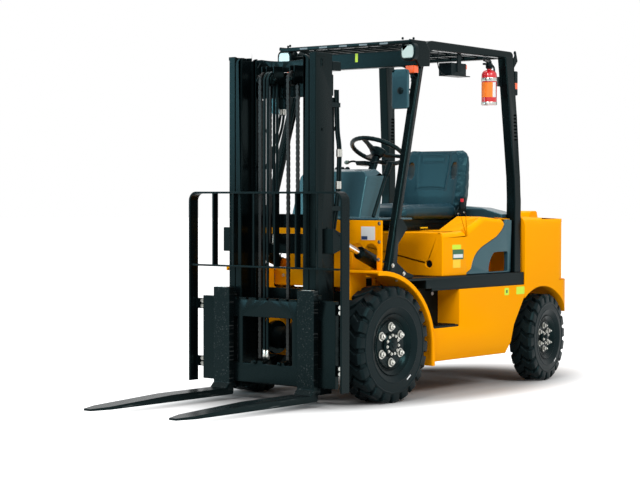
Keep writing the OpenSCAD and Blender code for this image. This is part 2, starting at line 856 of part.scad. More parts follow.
// Hood with the seat on it
hood_seam = concat(bend([-1214, 1000], [-1190, 968], [-1127, 932], 4),
                   bend([-1020, 892], [-890, 852], [-860, 770], 7),
                   [[-846, 740], [-800, hood_low + 14]]);
hood_dip = [-790, 972];
hood_rise = [-985, 1058];
hood_crown = [-1165, 1046];
hood_crest = concat([[-hood_front, 966], hood_dip, hood_rise, hood_crown],
                    arc(-1172, 1010, 40, 36, 80, 170, 4));
module hood_round(a, b, side) {
    reach = 7 * (b - a) / norm(b - a);
    start = a - reach;
    end = b + reach;
    round_edge([start[0], side * hood_half, start[1]],
               [end[0], side * hood_half, end[1]], 34, side);
}
module hood() {
    w = hood_wall;
    color(paint) place() difference() {
        slab(concat([[-hood_front, hood_low]], hood_crest, hood_seam,
                    [[-800, hood_low]]), -hood_half, hood_half);
        slab([[-hood_front - w, hood_low - 10], [-hood_front - w, 940],
              [-985, 950], [-1150, 950], [-1150, 900], [-1300, 900],
              [-1300, hood_low - 10]], -hood_half + w, hood_half - w);
        block(-1300, -hood_front + 10, -320, 320, 974, 1200);
        rod_x(426, 777, 22, -hood_front - 40, -hood_front + 10);
        for (side = [-1, 1]) {
            hood_round([-hood_front, 966], hood_dip, side);
            hood_round(hood_dip, hood_rise, side);
            hood_round(hood_rise, hood_crown + [-60, -4], side);
        }
    }
}
seat_back_low = 1046;
module seat_base() {
    color(black) place() {
        pair() block(-1120, -600, 150, 190, 974, 1006);
        block(-1110, -610, -190, 190, 1006,
              cushion_top - cushion_t - seat_gap);
        block(-1232, -1150, -190, 190, 1020, seat_back_low - seat_gap);
        block(-1160, -1100, -190, 190, 1010, 1034);
    }
}
module seat_cushion() {
    color(slate) place() intersection() {
        slab([[-540, 1060], [-560, 1100], [-640, 1130], [-1140, cushion_top],
              [-1140, cushion_top - cushion_t],
              [-560, cushion_top - cushion_t]], -seat_w / 2, seat_w / 2);
        block(-1200, -500, -seat_w / 2, seat_w / 2, 1000, 1200);
    }
}
module seat_back() {
    color(slate) place() intersection() {
        slab([[-1146, seat_back_low], [-1160, 1200], [-1215, 1480], [-1240, 1497],
              [-1276, 1480], [-1262, 1300], [-1232, seat_back_low]],
             -265, 265);
        cross_slab([[-200, 1040], [200, 1040], [235, 1110], [265, 1250],
                    [262, 1420], [215, 1492], [-215, 1492], [-262, 1420],
                    [-265, 1250], [-235, 1110]], -1400, -1100);
    }
}

// Outer mast: channels, cross members and the tilting eyes on the axle
eye_r = 100;
module rail(out, w, x0, x1, wall) {
    flange = wall + 3;
    difference() {
        translate([x0, out - w]) square([x1 - x0, w]);
        translate([x0 + flange, out - w - 1])
            square([x1 - x0 - 2 * flange, w - wall + 1]);
    }
}
module outer_mast() {
    out = mast_half;
    eye_in = out - 28;
    cross_t = rail_back - lift_x - lift_barrel_r - seat_gap;
    color(black) place() {
        pair() {
            translate([0, 0, mast_low]) linear_extrude(mast_top - mast_low)
                rail(out, outer_rail_w, rail_back, rail_front, rail_wall);
            difference() {
                union() {
                    rod_y(0, axle_z, eye_r, eye_in, out);
                    slab([[rail_back + 5, 180], [rail_back + 5, 520],
                          [60, axle_z + 80], [60, axle_z - 80]],
                         eye_in, out);
                }
                rod_y(0, axle_z, trunnion_r + seat_gap, eye_in - 10,
                      out + 10);
            }
            tilt_bracket();
        }
        for (z = [[80, 180], [560, 650], [850, 966], [1752, 1872]]) {
            block(rail_back - cross_t, rail_back, -out, out, z[0], z[1]);
            block(rail_back - 36, rail_back - cross_t, -222, 222,
                  z[0] + 8, z[1] - 8);
        }
    }
}
tilt_eye = [250, 380, 925];
tilt_pin = [-124, 380, 782];
tilt_len = norm(tilt_pin - tilt_eye);
pin_r = 14;
pin_neck_r = 8;
tilt_ear_in = 359;
tilt_ear_out = 398;
module tilt_bracket() {
    for (y = [[mast_half, tilt_ear_in], [tilt_ear_out, tilt_ear_out + 14]])
        slab([[rail_front - 60, 1000], [rail_front - 60, 860],
              [tilt_eye[0] - 20, 895], [tilt_eye[0] - 32, 930],
              [tilt_eye[0] - 10, 957]], y[0], y[1]);
    block(rail_front - 60, rail_front - 46, mast_half, tilt_ear_out + 14,
          860, 1000);
    rod_y(tilt_eye[0], tilt_eye[2], pin_neck_r, mast_half, tilt_ear_out);
    rod_y(tilt_eye[0], tilt_eye[2], pin_r, tilt_ear_out, tilt_ear_out + 20);
}
module lift_barrels() {
    bore = lift_rod_r + seat_gap;
    color(black) place() pair() translate([lift_x, lift_y, mast_low + 20])
        difference() {
            cylinder(h = barrel_top - mast_low - 20, r = lift_barrel_r);
            translate([0, 0, 40])
                cylinder(h = barrel_top, r = bore);
        }
}
lift_y = mast_half - 28 - lift_barrel_r - 2;
barrel_top = 1745;

// Inner mast: channels inside the outer rails, with rollers and sheaves
stroke = 1480;
inner_low = mast_low + 15;
inner_top = mast_top - 8;
cheek_r = 40;
sheave_x = 340;
sheave_z = 1850;
sheave_r = 42;
chain_y = 105;
hose_y = [-74, -50];
module inner_mast() {
    color(black) place() {
        pair() {
            intersection() {
                translate([0, 0, inner_low])
                    linear_extrude(inner_top - inner_low)
                        rail(inner_out, inner_rail_w, rail_back + rail_gap,
                             rail_front, rail_wall - 2);
                cross_slab(concat([[0, inner_low - 1], [inner_out + 1, inner_low - 1]],
                                  arc(inner_out - cheek_r, inner_top - cheek_r,
                                      cheek_r, cheek_r, 0, 90, 10),
                                  [[0, inner_top]]), 0, 500);
            }
            rod_y(rail_mid, inner_low + 90, 18, inner_out - 4,
                  inner_out + 9);
            rod_y(rail_mid, inner_low + 90, roller_r, inner_out + 9,
                  mast_half - rail_wall - 5);
            block(rail_back + rail_gap, sheave_x + 12, chain_y + 12,
                  chain_y + 20, sheave_z - 20, sheave_z + 80);
            block(rail_back + rail_gap, sheave_x + 12, chain_y - 20,
                  chain_y - 12, sheave_z - 20, sheave_z + 80);
            rod_y(sheave_x, sheave_z, sheave_r - 6.3, chain_y - 12,
                  chain_y + 12);
            block(lift_x - 40, rail_back + rail_gap + 4, inner_in,
                  inner_out, 1896, 1948);
            block(lift_x - 40, rail_back - 6, inner_out, mast_half - 4,
                  1896, 1948);
        }
        for (z = [[1000, 1080], [110, 190]])
            block(rail_back + rail_gap, rail_back + rail_gap + 14,
                  -inner_out + 2, inner_out - 2, z[0], z[1]);
        cross_slab(concat([[inner_out - 10, 1898], [inner_out - 10, 1940],
                           [inner_out - 50, inner_top - 6]],
                          [for (i = [8:-1:-8])
                              [i * 24, inner_top - 6 - 16 * (1 - pow(i / 8, 2))]],
                          [[-inner_out + 50, inner_top - 6],
                           [-inner_out + 10, 1940], [-inner_out + 10, 1898]]),
                   rail_back + rail_gap, rail_back + rail_gap + 12);
        rod_y(sheave_x, sheave_z, sheave_r - 9.3, hose_y[0] - 12,
              hose_y[1] + 12);
        block(rail_back + rail_gap, sheave_x + 12, hose_y[0] - 20,
              hose_y[0] - 12, sheave_z - 20, sheave_z + 80);
        block(rail_back + rail_gap, sheave_x + 12, hose_y[1] + 12,
              hose_y[1] + 20, sheave_z - 20, sheave_z + 80);
    }
}
module lift_rods() {
    color("silver") place() pair()
        translate([lift_x, lift_y, mast_low + 62])
            cylinder(h = 1896 - mast_low - 62, r = lift_rod_r);
}

// Leaf chains and hoses over the sheaves
front_strand_x = sheave_x + sheave_r;
rear_strand_x = sheave_x - sheave_r;
chain_t = 12;
anchor_z = 236;
rear_anchor_z = 900;
module chain_front() {
    color("#4A4A46") place() pair()
        block(front_strand_x - chain_t / 2, front_strand_x + chain_t / 2,
              chain_y - 11, chain_y + 11, anchor_z, sheave_z);
}
module chain_rear() {
    color("#4A4A46") place() pair()
        block(rear_strand_x - chain_t / 2, rear_strand_x + chain_t / 2,
              chain_y - 11, chain_y + 11, rear_anchor_z, sheave_z);
}
module hose_front() {
    color(black) place() for (y = hose_y)
        translate([front_strand_x, y, anchor_z])
            cylinder(h = sheave_z - anchor_z, r = 9);
}
module hose_rear() {
    color(black) place() for (y = hose_y)
        translate([rear_strand_x, y, rear_anchor_z])
            cylinder(h = sheave_z - rear_anchor_z, r = 9);
}

// Fork carriage and load backrest
module carriage() {
    x0 = bar_back;
    x1 = bar_back + bar_t;
    arm_out = inner_in - 5;
    upper_low = upper_bar_top - bar_h;
    color(black) place() {
        difference() {
            union() {
                block(x0, x1, -carriage_half, carriage_half, upper_low,
                      upper_bar_top);
                block(x0, x1, -carriage_half, carriage_half, lower_bar_z,
                      lower_bar_z + bar_h);
            }
            for (i = [-5:5])
                block(x0 - 1, x1 + 1, i * 76 - 9, i * 76 + 9,
                      upper_bar_top - 12, upper_bar_top + 1);
        }
        pair() {
            block(x0, x1, carriage_half - 100, carriage_half,
                  lower_bar_z + bar_h, upper_low);
            block(300, x0, arm_out - 18, arm_out, 150, 560);
            block(x0, x1, arm_out - 40, arm_out, lower_bar_z + bar_h,
                  upper_low);
            for (z = [200, 430])
                rod_y(rail_mid, z, roller_r, arm_out,
                      inner_out - rail_wall - 3);
            block(front_strand_x - 16, x0, chain_y - 20, chain_y + 20,
                  lower_bar_z + 96, anchor_z);
            block(x0, x1, chain_y - 20, chain_y + 20, lower_bar_z + bar_h,
                  anchor_z);
        }
        block(front_strand_x - 16, x1, hose_y[0] - 14, hose_y[1] + 14,
              lower_bar_z + bar_h - 10, anchor_z);
    }
}
rest_x = fork_reach - backrest_d;
rest_mid = 783;
module load_backrest() {
    x1 = fork_reach;
    color(black) place() {
        pair() {
            block(rest_x, x1, backrest_half - 12, backrest_half, 95,
                  backrest_top - 55);
            difference() {
                rod_x(backrest_half - 55, backrest_top - 55, 55, rest_x, x1);
                rod_x(backrest_half - 55, backrest_top - 55, 43,
                      rest_x - 1, x1 + 1);
                block(rest_x - 1, x1 + 1, 0, backrest_half - 55, 1000, 1300);
                block(rest_x - 1, x1 + 1, 0, backrest_half, 1000,
                      backrest_top - 55);
            }
            for (z = [180, 520])
                block(rest_x, rest_x + 12, carriage_half,
                      backrest_half - 12, z, z + 60);
        }
        block(rest_x, x1, -backrest_half + 55, backrest_half - 55,
              backrest_top - 12, backrest_top);
        block(rest_x + 20, rest_x + 60, -backrest_half + 12,
              backrest_half - 12, rest_mid - 10, rest_mid);
        for (i = [-2.5:1:2.5])
            block(rest_x + 20, rest_x + 60, i * 157 - 6, i * 157 + 6,
                  rest_mid, backrest_top - 12);
    }
}

// Forks: tapered blade, shank and the hooks over the carriage bars
module fork() {
    x1 = fork_reach;
    x0 = fork_reach - fork_t;
    low = fork_low;
    hook_back = bar_back;
    taper_len = 600;
    color(black) place() {
        difference() {
            slab([[x0, 655], [x0, low + 8], [x0 + 8, low], [fork_tip, low],
                  [fork_tip, low + tip_t], [fork_tip - taper_len, low + fork_t],
                  [x1 + 30, low + fork_t], [x1, low + fork_t + 30],
                  [x1, 655]], -fork_w / 2, fork_w / 2);
            difference() {
                block(fork_tip - 130, fork_tip + 1, -fork_w, fork_w, 0, 200);
                translate([fork_tip - 130, 0, 0]) linear_extrude(200)
                    difference() {
                        square([400, fork_w], center = true);
                        for (s = [-1, 1])
                            polygon([[20, s * (fork_w / 2 + 1)],
                                     [131, s * 26],
                                     [131, s * (fork_w / 2 + 1)]]);
                    }
            }
        }
        block(hook_back, x0, -fork_w / 2, fork_w / 2, upper_bar_top + 0.5,
              upper_bar_top + 30);
        block(hook_back + 10, x0, -fork_w / 2, fork_w / 2,
              lower_bar_z - 30, lower_bar_z - 1);
    }
}
module fork_left() { translate([0, fork_y, 0]) fork(); }
module fork_right() { translate([0, -fork_y, 0]) fork(); }

// Tilt cylinders between the frame and the mast
tilt_dir = (tilt_eye - tilt_pin) / tilt_len;
module tilt_barrel() {
    r = 38;
    start = tilt_pin + 42 * tilt_dir;
    color(black) place() difference() {
        union() {
            rod(start, tilt_pin + 215 * tilt_dir, r);
            rod(tilt_pin + 20 * tilt_dir, start + 2 * tilt_dir, 15);
            rod_y(tilt_pin[0], tilt_pin[2], 30, 365, 395);
        }
        rod_y(tilt_pin[0], tilt_pin[2], pin_r + seat_gap, 300, 460);
        rod(tilt_pin + 60 * tilt_dir, tilt_pin + 230 * tilt_dir,
            18 + seat_gap);
    }
}
module tilt_rod() {
    color("silver") place() difference() {
        union() {
            rod(tilt_pin + 150 * tilt_dir, tilt_eye - 20 * tilt_dir, 18);
            rod_y(tilt_eye[0], tilt_eye[2], 28, 364, 393);
        }
        rod_y(tilt_eye[0], tilt_eye[2], pin_neck_r + 6.5, 300, 460);
    }
}
module tilt_barrel_left() { tilt_barrel(); }
module tilt_barrel_right() { mirror([0, 1, 0]) tilt_barrel(); }
module tilt_rod_left() { tilt_rod(); }
module tilt_rod_right() { mirror([0, 1, 0]) tilt_rod(); }

frame();
fenders();
cowl();
floor_plate();
dashboard();
steering_column();
controls();
engine();
drive_axle();
steer_axle();
counterweight();
engine_covers();
overhead_guard();
guard_bars();
beacon();
headlamps();
signal_lamps();
mirrors();
fire_extinguisher();
steering_wheel();
hood();
seat_base();
seat_cushion();
seat_back();
outer_mast();
lift_barrels();
inner_mast();
lift_rods();
chain_front();
chain_rear();
hose_front();
hose_rear();
carriage();
load_backrest();
fork_left();
fork_right();
tilt_barrel_left();
tilt_barrel_right();
tilt_rod_left();
tilt_rod_right();
knuckle_left();
knuckle_right();
tyre_front_left();
tyre_front_right();
tyre_rear_left();
tyre_rear_right();
rim_front_left();
rim_front_right();
rim_rear_left();
rim_rear_right();
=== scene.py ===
import json
import math

import bmesh
import bpy
from mathutils import Matrix, Vector

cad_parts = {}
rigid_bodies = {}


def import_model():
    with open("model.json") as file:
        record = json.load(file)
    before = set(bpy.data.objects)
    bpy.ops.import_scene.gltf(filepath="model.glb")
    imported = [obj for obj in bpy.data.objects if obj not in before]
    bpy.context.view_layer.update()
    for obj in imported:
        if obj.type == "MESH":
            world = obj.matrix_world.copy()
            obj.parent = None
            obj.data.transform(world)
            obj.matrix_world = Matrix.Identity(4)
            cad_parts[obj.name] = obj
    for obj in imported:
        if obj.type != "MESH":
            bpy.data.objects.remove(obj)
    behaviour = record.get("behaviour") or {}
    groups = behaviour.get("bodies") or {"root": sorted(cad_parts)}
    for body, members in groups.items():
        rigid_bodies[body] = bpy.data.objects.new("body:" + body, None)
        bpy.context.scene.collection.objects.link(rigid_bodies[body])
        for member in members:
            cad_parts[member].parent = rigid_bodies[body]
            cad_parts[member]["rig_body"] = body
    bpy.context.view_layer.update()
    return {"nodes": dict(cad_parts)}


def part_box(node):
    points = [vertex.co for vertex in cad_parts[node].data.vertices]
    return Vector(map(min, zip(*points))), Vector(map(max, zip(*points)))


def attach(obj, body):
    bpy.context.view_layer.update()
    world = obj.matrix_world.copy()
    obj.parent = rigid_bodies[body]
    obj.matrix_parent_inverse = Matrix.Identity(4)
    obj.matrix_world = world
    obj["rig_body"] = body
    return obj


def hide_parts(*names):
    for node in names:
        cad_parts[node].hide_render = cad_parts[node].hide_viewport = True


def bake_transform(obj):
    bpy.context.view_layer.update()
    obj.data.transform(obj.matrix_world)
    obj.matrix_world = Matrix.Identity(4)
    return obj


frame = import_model()
nodes = frame["nodes"]

# Studio: a white sweep seen from the truck's left front, a little above the height of its floor plate.
# The camera is a long lens far off. Its place and aim were fitted to the wheels, mast, forks and guard.
scene = bpy.context.scene
scene.view_settings.view_transform = "Standard"
camera_place = Vector((8.4268, 6.6470, 1.1897))
camera_yaw, camera_pitch, camera_roll = 219.055, -1.446, -0.076
lens_data = bpy.data.cameras.new("studio_camera")
lens_data.sensor_width = 36.0
lens_data.lens = 100.26
camera = bpy.data.objects.new("studio_camera", lens_data)
camera.matrix_world = (
    Matrix.Translation(camera_place)
    @ Matrix.Rotation(math.radians(camera_yaw - 90), 4, "Z")
    @ Matrix.Rotation(math.radians(90 + camera_pitch), 4, "X")
    @ Matrix.Rotation(math.radians(-camera_roll), 4, "Z")
)
scene.collection.objects.link(camera)
scene.camera = camera


def new_material(name):
    material = bpy.data.materials.new(name)
    material.use_nodes = True
    tree = material.node_tree
    return material, tree, tree.nodes["Principled BSDF"]


# The paper floor is white away from the truck and grey near it: a soft painted shadow halo round the truck, added to
# the shadow the lamps cast.
# The white shows to the eye, in gloss and through clear plastic alike.
def background_rays(tree):
    rays = tree.nodes.new("ShaderNodeLightPath")
    shiny = tree.nodes.new("ShaderNodeMath")
    shiny.operation = "MAXIMUM"
    seen = tree.nodes.new("ShaderNodeMath")
    seen.operation = "MAXIMUM"
    tree.links.new(rays.outputs["Is Glossy Ray"], shiny.inputs[0])
    tree.links.new(rays.outputs["Is Transmission Ray"], shiny.inputs[1])
    tree.links.new(rays.outputs["Is Camera Ray"], seen.inputs[0])
    tree.links.new(shiny.outputs[0], seen.inputs[1])
    return seen.outputs[0]


def studio_floor(half_size, white_from, white_to):
    mesh = bpy.data.meshes.new("studio_floor")
    corners = [(-half_size, -half_size), (half_size, -half_size), (half_size, half_size), (-half_size, half_size)]
    mesh.from_pydata([(x, y, 0.0) for x, y in corners], [], [(0, 1, 2, 3)])
    floor = bpy.data.objects.new("studio_floor", mesh)
    scene.collection.objects.link(floor)
    material, tree, shader = new_material("studio_paper")
    shader.inputs["Base Color"].default_value = (0.40, 0.40, 0.40, 1)
    shader.inputs["Roughness"].default_value = 0.95
    shader.inputs["Specular IOR Level"].default_value = 0.0
    place = tree.nodes.new("ShaderNodeTexCoord")
    squeeze = tree.nodes.new("ShaderNodeMapping")
    squeeze.inputs["Location"].default_value = (0.24, 0.0, 0.0)
    squeeze.inputs["Scale"].default_value = (0.50, 1.0, 1.0)
    reach = tree.nodes.new("ShaderNodeVectorMath")
    reach.operation = "LENGTH"
    # The lift grows with distance from the truck; close to it the lift is nought, and the grey floor there is a painted
    # shadow halo.
    shadow_halo = tree.nodes.new("ShaderNodeMapRange")
    shadow_halo.interpolation_type = "SMOOTHSTEP"
    shadow_halo.inputs["From Min"].default_value = white_from
    shadow_halo.inputs["From Max"].default_value = white_to
    lift = tree.nodes.new("ShaderNodeMath")
    lift.operation = "MULTIPLY"
    tree.links.new(place.outputs["Object"], squeeze.inputs["Vector"])
    tree.links.new(squeeze.outputs[0], reach.inputs[0])
    tree.links.new(reach.outputs["Value"], shadow_halo.inputs["Value"])
    tree.links.new(shadow_halo.outputs["Result"], lift.inputs[0])
    tree.links.new(background_rays(tree), lift.inputs[1])
    shader.inputs["Emission Color"].default_value = (1, 1, 1, 1)
    tree.links.new(lift.outputs[0], shader.inputs["Emission Strength"])
    mesh.materials.append(material)


studio_floor(60.0, 0.60, 1.12)


# The room is one plain grey for soft light, and white wherever it is seen, directly or in gloss.
def studio_room():
    world = bpy.data.worlds.new("studio_light")
    scene.world = world
    world.use_nodes = True
    tree = world.node_tree
    tone = tree.nodes.new("ShaderNodeMix")
    tone.data_type = "RGBA"
    tone.inputs["A"].default_value = (0.62, 0.62, 0.62, 1)
    tone.inputs["B"].default_value = (1, 1, 1, 1)
    tree.links.new(background_rays(tree), tone.inputs["Factor"])
    tree.links.new(tone.outputs["Result"], tree.nodes["Background"].inputs["Color"])


studio_room()


def soft_box(name, place, target, width, height, power, colour=(1.0, 1.0, 1.0)):
    data = bpy.data.lights.new(name, "AREA")
    data.shape = "RECTANGLE"
    data.size, data.size_y, data.energy = width, height, power
    data.color = colour
    lamp = bpy.data.objects.new(name, data)
    lamp.location = place
    lamp.rotation_euler = (Vector(target) - Vector(place)).to_track_quat("-Z", "Y").to_euler()
    scene.collection.objects.link(lamp)


soft_box("top_light", (-0.6, -0.6, 6.4), (-0.2, 0.0, 0.0), 3.6, 2.6, 190.0)
soft_box("side_light", (1.2, 6.6, 5.6), (-0.4, 0.0, 0.7), 3.2, 2.2, 320.0)
soft_box("front_light", (6.8, 2.4, 5.2), (0.1, 0.0, 0.8), 2.6, 2.2, 270.0)
soft_box("edge_light", (5.4, -5.4, 3.0), (0.0, 0.0, 1.1), 1.6, 3.0, 110.0, (0.50, 0.85, 1.0))


# Softened edges for the steel pieces: folded and cast edges are never knife sharp, and catch a line of light.
# The loose triangles are merged, faces turn smooth up to the crease angle, and a narrow bevel follows.
def soft_edges(node, width, crease=35.0, segments=2):
    name = f"soft_edges_{round(crease)}"
    group = bpy.data.node_groups.get(name)
    if group is None:
        group = bpy.data.node_groups.new(name, "GeometryNodeTree")
        group.interface.new_socket("Geometry", in_out="INPUT", socket_type="NodeSocketGeometry")
        group.interface.new_socket("Geometry", in_out="OUTPUT", socket_type="NodeSocketGeometry")
        start = group.nodes.new("NodeGroupInput")
        end = group.nodes.new("NodeGroupOutput")
        merge = group.nodes.new("GeometryNodeMergeByDistance")
        merge.inputs["Distance"].default_value = 0.00004
        faces = group.nodes.new("GeometryNodeSetShadeSmooth")
        angle = group.nodes.new("GeometryNodeInputMeshEdgeAngle")
        flat = group.nodes.new("FunctionNodeCompare")
        flat.operation = "LESS_THAN"
        flat.inputs[1].default_value = math.radians(crease)
        edges = group.nodes.new("GeometryNodeSetShadeSmooth")
        edges.domain = "EDGE"
        group.links.new(start.outputs[0], merge.inputs["Geometry"])
        group.links.new(merge.outputs[0], faces.inputs["Geometry"])
        group.links.new(faces.outputs[0], edges.inputs["Geometry"])
        group.links.new(angle.outputs["Unsigned Angle"], flat.inputs[0])
        group.links.new(flat.outputs[0], edges.inputs["Shade Smooth"])
        group.links.new(edges.outputs[0], end.inputs[0])
    piece = nodes[node]
    merged = piece.modifiers.new("merged", "NODES")
    merged.node_group = group
    if width > 0:
        bevel = piece.modifiers.new("bevel", "BEVEL")
        bevel.width = width
        bevel.segments = segments
        bevel.limit_method = "ANGLE"
        bevel.angle_limit = math.radians(crease)
        bevel.use_clamp_overlap = False
        bevel.harden_normals = True
        bevel.miter_outer = "MITER_ARC"


# Patina shared by every finish: slow blotches for dust and colour drift, and a fine grain for roughness and bump.
# The group gives masks that change over the surface. Each material says how much of them it takes.
def patina_group():
    group = bpy.data.node_groups.new("patina", "ShaderNodeTree")
    for name, value in (("Blotch Scale", 6.0), ("Grain Scale", 300.0), ("Dust Height", 0.25)):
        socket = group.interface.new_socket(name, in_out="INPUT", socket_type="NodeSocketFloat")
        socket.default_value = value
    for name in ("Blotch", "Grain", "Dust"):
        group.interface.new_socket(name, in_out="OUTPUT", socket_type="NodeSocketFloat")
    start = group.nodes.new("NodeGroupInput")
    end = group.nodes.new("NodeGroupOutput")
    place = group.nodes.new("ShaderNodeTexCoord")
    blotch = group.nodes.new("ShaderNodeTexNoise")
    blotch.inputs["Detail"].default_value = 4.0
    grain = group.nodes.new("ShaderNodeTexNoise")
    grain.inputs["Detail"].default_value = 2.0
    split = group.nodes.new("ShaderNodeSeparateXYZ")
    low = group.nodes.new("ShaderNodeMapRange")
    low.inputs["To Min"].default_value = 1.0
    low.inputs["To Max"].default_value = 0.0
    dust = group.nodes.new("ShaderNodeMath")
    dust.operation = "MULTIPLY"
    for texture, scale in ((blotch, "Blotch Scale"), (grain, "Grain Scale")):
        group.links.new(place.outputs["Object"], texture.inputs["Vector"])
        group.links.new(start.outputs[scale], texture.inputs["Scale"])
    group.links.new(place.outputs["Object"], split.inputs[0])
    group.links.new(split.outputs["Z"], low.inputs["Value"])
    group.links.new(start.outputs["Dust Height"], low.inputs["From Max"])
    group.links.new(low.outputs["Result"], dust.inputs[0])
    group.links.new(blotch.outputs["Fac"], dust.inputs[1])
    group.links.new(blotch.outputs["Fac"], end.inputs["Blotch"])
    group.links.new(grain.outputs["Fac"], end.inputs["Grain"])
    group.links.new(dust.outputs[0], end.inputs["Dust"])
    return group


patina = patina_group()


def finish_material(name, colour, second, roughness, bump, grain_scale, blotch_scale=6.0,
                    metallic=0.0, coat=0.0, dust=(0.35, 0.33, 0.30), dust_share=0.1, spread=0.08,
                    specular=0.5, tint=(1.0, 1.0, 1.0)):
    material, tree, shader = new_material(name)
    source = tree.nodes.new("ShaderNodeGroup")
    source.node_tree = patina
    source.inputs["Blotch Scale"].default_value = blotch_scale
    source.inputs["Grain Scale"].default_value = grain_scale
    source.inputs["Dust Height"].default_value = 0.45
    drift = tree.nodes.new("ShaderNodeMix")
    drift.data_type = "RGBA"
    drift.inputs["A"].default_value = (*colour, 1)
    drift.inputs["B"].default_value = (*second, 1)
    tree.links.new(source.outputs["Blotch"], drift.inputs["Factor"])
    dirt_share = tree.nodes.new("ShaderNodeMath")
    dirt_share.operation = "MULTIPLY"
    dirt_share.inputs[1].default_value = dust_share
    tree.links.new(source.outputs["Dust"], dirt_share.inputs[0])
    dirt = tree.nodes.new("ShaderNodeMix")
    dirt.data_type = "RGBA"
    dirt.inputs["B"].default_value = (*dust, 1)
    tree.links.new(dirt_share.outputs[0], dirt.inputs["Factor"])
    tree.links.new(drift.outputs["Result"], dirt.inputs["A"])
    tree.links.new(dirt.outputs["Result"], shader.inputs["Base Color"])
    rough = tree.nodes.new("ShaderNodeMapRange")
    rough.inputs["From Min"].default_value = 0.3
    rough.inputs["From Max"].default_value = 0.7
    rough.inputs["To Min"].default_value = max(0.02, roughness - spread)
    rough.inputs["To Max"].default_value = min(1.0, roughness + spread)
    tree.links.new(source.outputs["Grain"], rough.inputs["Value"])
    tree.links.new(rough.outputs["Result"], shader.inputs["Roughness"])
    relief = tree.nodes.new("ShaderNodeBump")
    relief.inputs["Strength"].default_value = bump
    relief.inputs["Distance"].default_value = 0.0008
    tree.links.new(source.outputs["Grain"], relief.inputs["Height"])
    tree.links.new(relief.outputs["Normal"], shader.inputs["Normal"])
    shader.inputs["Metallic"].default_value = metallic
    shader.inputs["Specular IOR Level"].default_value = specular
    shader.inputs["Specular Tint"].default_value = (*tint, 1)
    shader.inputs["Coat Weight"].default_value = coat
    shader.inputs["Coat Roughness"].default_value = 0.06
    return material


def dress(node, material, width=0.002, crease=35.0, segments=2):
    mesh = nodes[node].data
    mesh.materials.clear()
    mesh.materials.append(material)
    soft_edges(node, width, crease, segments)


# Yellow body panels: pressed and welded sheet steel, sprayed with a warm orange-yellow enamel.
# The frame, fenders, front plate, hood and the iron counterweight all carry the same coat.
enamel = finish_material("yellow_enamel", (1.0, 0.40, 0.0006), (1.0, 0.36, 0.0005), 0.36, 0.03, 240.0,
                         blotch_scale=2.5, dust_share=0.0, specular=0.03, tint=(1.0, 0.60, 0.02))


# The frame is coloured near black wherever it lies within 0.33 m of the centre line, its plates round the axle among
# them; only its outer part carries the yellow coat.
black_middle_reach = 0.3295


def frame_enamel():
    material = enamel.copy()
    material.name = "frame_enamel"
    tree = material.node_tree
    shader = tree.nodes["Principled BSDF"]
    base = shader.inputs["Base Color"].links[0].from_socket
    place = tree.nodes.new("ShaderNodeTexCoord")
    split = tree.nodes.new("ShaderNodeSeparateXYZ")
    side = tree.nodes.new("ShaderNodeMath")
    side.operation = "ABSOLUTE"
    inside = tree.nodes.new("ShaderNodeMath")
    inside.operation = "LESS_THAN"
    inside.inputs[1].default_value = black_middle_reach
    skin = tree.nodes.new("ShaderNodeMix")
    skin.data_type = "RGBA"
    skin.inputs["B"].default_value = (0.002, 0.0035, 0.004, 1)
    tree.links.new(place.outputs["Object"], split.inputs[0])
    tree.links.new(split.outputs["Y"], side.inputs[0])
    tree.links.new(side.outputs[0], inside.inputs[0])
    tree.links.new(inside.outputs[0], skin.inputs["Factor"])
    tree.links.new(base, skin.inputs["A"])
    tree.links.new(skin.outputs["Result"], shader.inputs["Base Color"])
    return material


dress("frame", frame_enamel(), 0.005)
dress("fenders", enamel, 0.003)
dress("cowl", enamel, 0.003)
dress("hood", enamel, 0.006, segments=3)
dress("counterweight", enamel, 0.004, crease=28.0, segments=3)


# Black enamel, rubber and plastic take a blue tint in their gloss: a painted cool sheen that stands in for cool light
# in the room.
painted_cool_sheen = (0.40, 0.95, 1.0)

# Front plate and fenders: folded sheet steel, held by zinc plated bolts at the plate's edge and by bolts in the yellow
# enamel low on the fenders, with one blank rating plate of printed foil.
# Small pieces are drawn in millimetres from the centre of the front axle at floor level: x runs forwards,
# y to the truck's left and z up. The front wheel gives that centre in the frame.
axle_low, axle_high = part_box("tyre_front_left")
axle_x = (axle_low[0] + axle_high[0]) / 2


def at(x, y, z):
    return Vector((axle_x + x / 1000, y / 1000, z / 1000))


def piece_of(name, bm, body, slot, *materials, bevel=0.0, segments=2, crease=35.0):
    bmesh.ops.remove_doubles(bm, verts=bm.verts, dist=0.00001)
    bmesh.ops.recalc_face_normals(bm, faces=bm.faces)
    for face in bm.faces:
        face.smooth = True
    for edge in bm.edges:
        if len(edge.link_faces) == 2:
            edge.smooth = edge.calc_face_angle(0.0) < math.radians(crease)
    mesh = bpy.data.meshes.new(name)
    bm.to_mesh(mesh)
    bm.free()
    for material in materials:
        mesh.materials.append(material)
    piece = bpy.data.objects.new(name, mesh)
    scene.collection.objects.link(piece)
    if bevel > 0:
        rounding = piece.modifiers.new("bevel", "BEVEL")
        rounding.width = bevel
        rounding.segments = segments
        rounding.limit_method = "ANGLE"
        rounding.angle_limit = math.radians(crease)
        rounding.harden_normals = True
    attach(piece, body)
    return piece


# A flat plate cut to an outline. The outline's points are (u, v) on the two axes that aren't the thickness.
def add_plate(bm, outline, axis, low, high, material=0):
    def corner(u, v, w):
        return at(*{"x": (w, u, v), "y": (u, w, v), "z": (u, v, w)}[axis])
    one = [bm.verts.new(corner(u, v, low)) for u, v in outline]
    two = [bm.verts.new(corner(u, v, high)) for u, v in outline]
    bm.faces.new(one).material_index = material
    bm.faces.new(two).material_index = material
    for i in range(len(outline)):
        j = (i + 1) % len(outline)
        bm.faces.new((one[i], one[j], two[j], two[i])).material_index = material


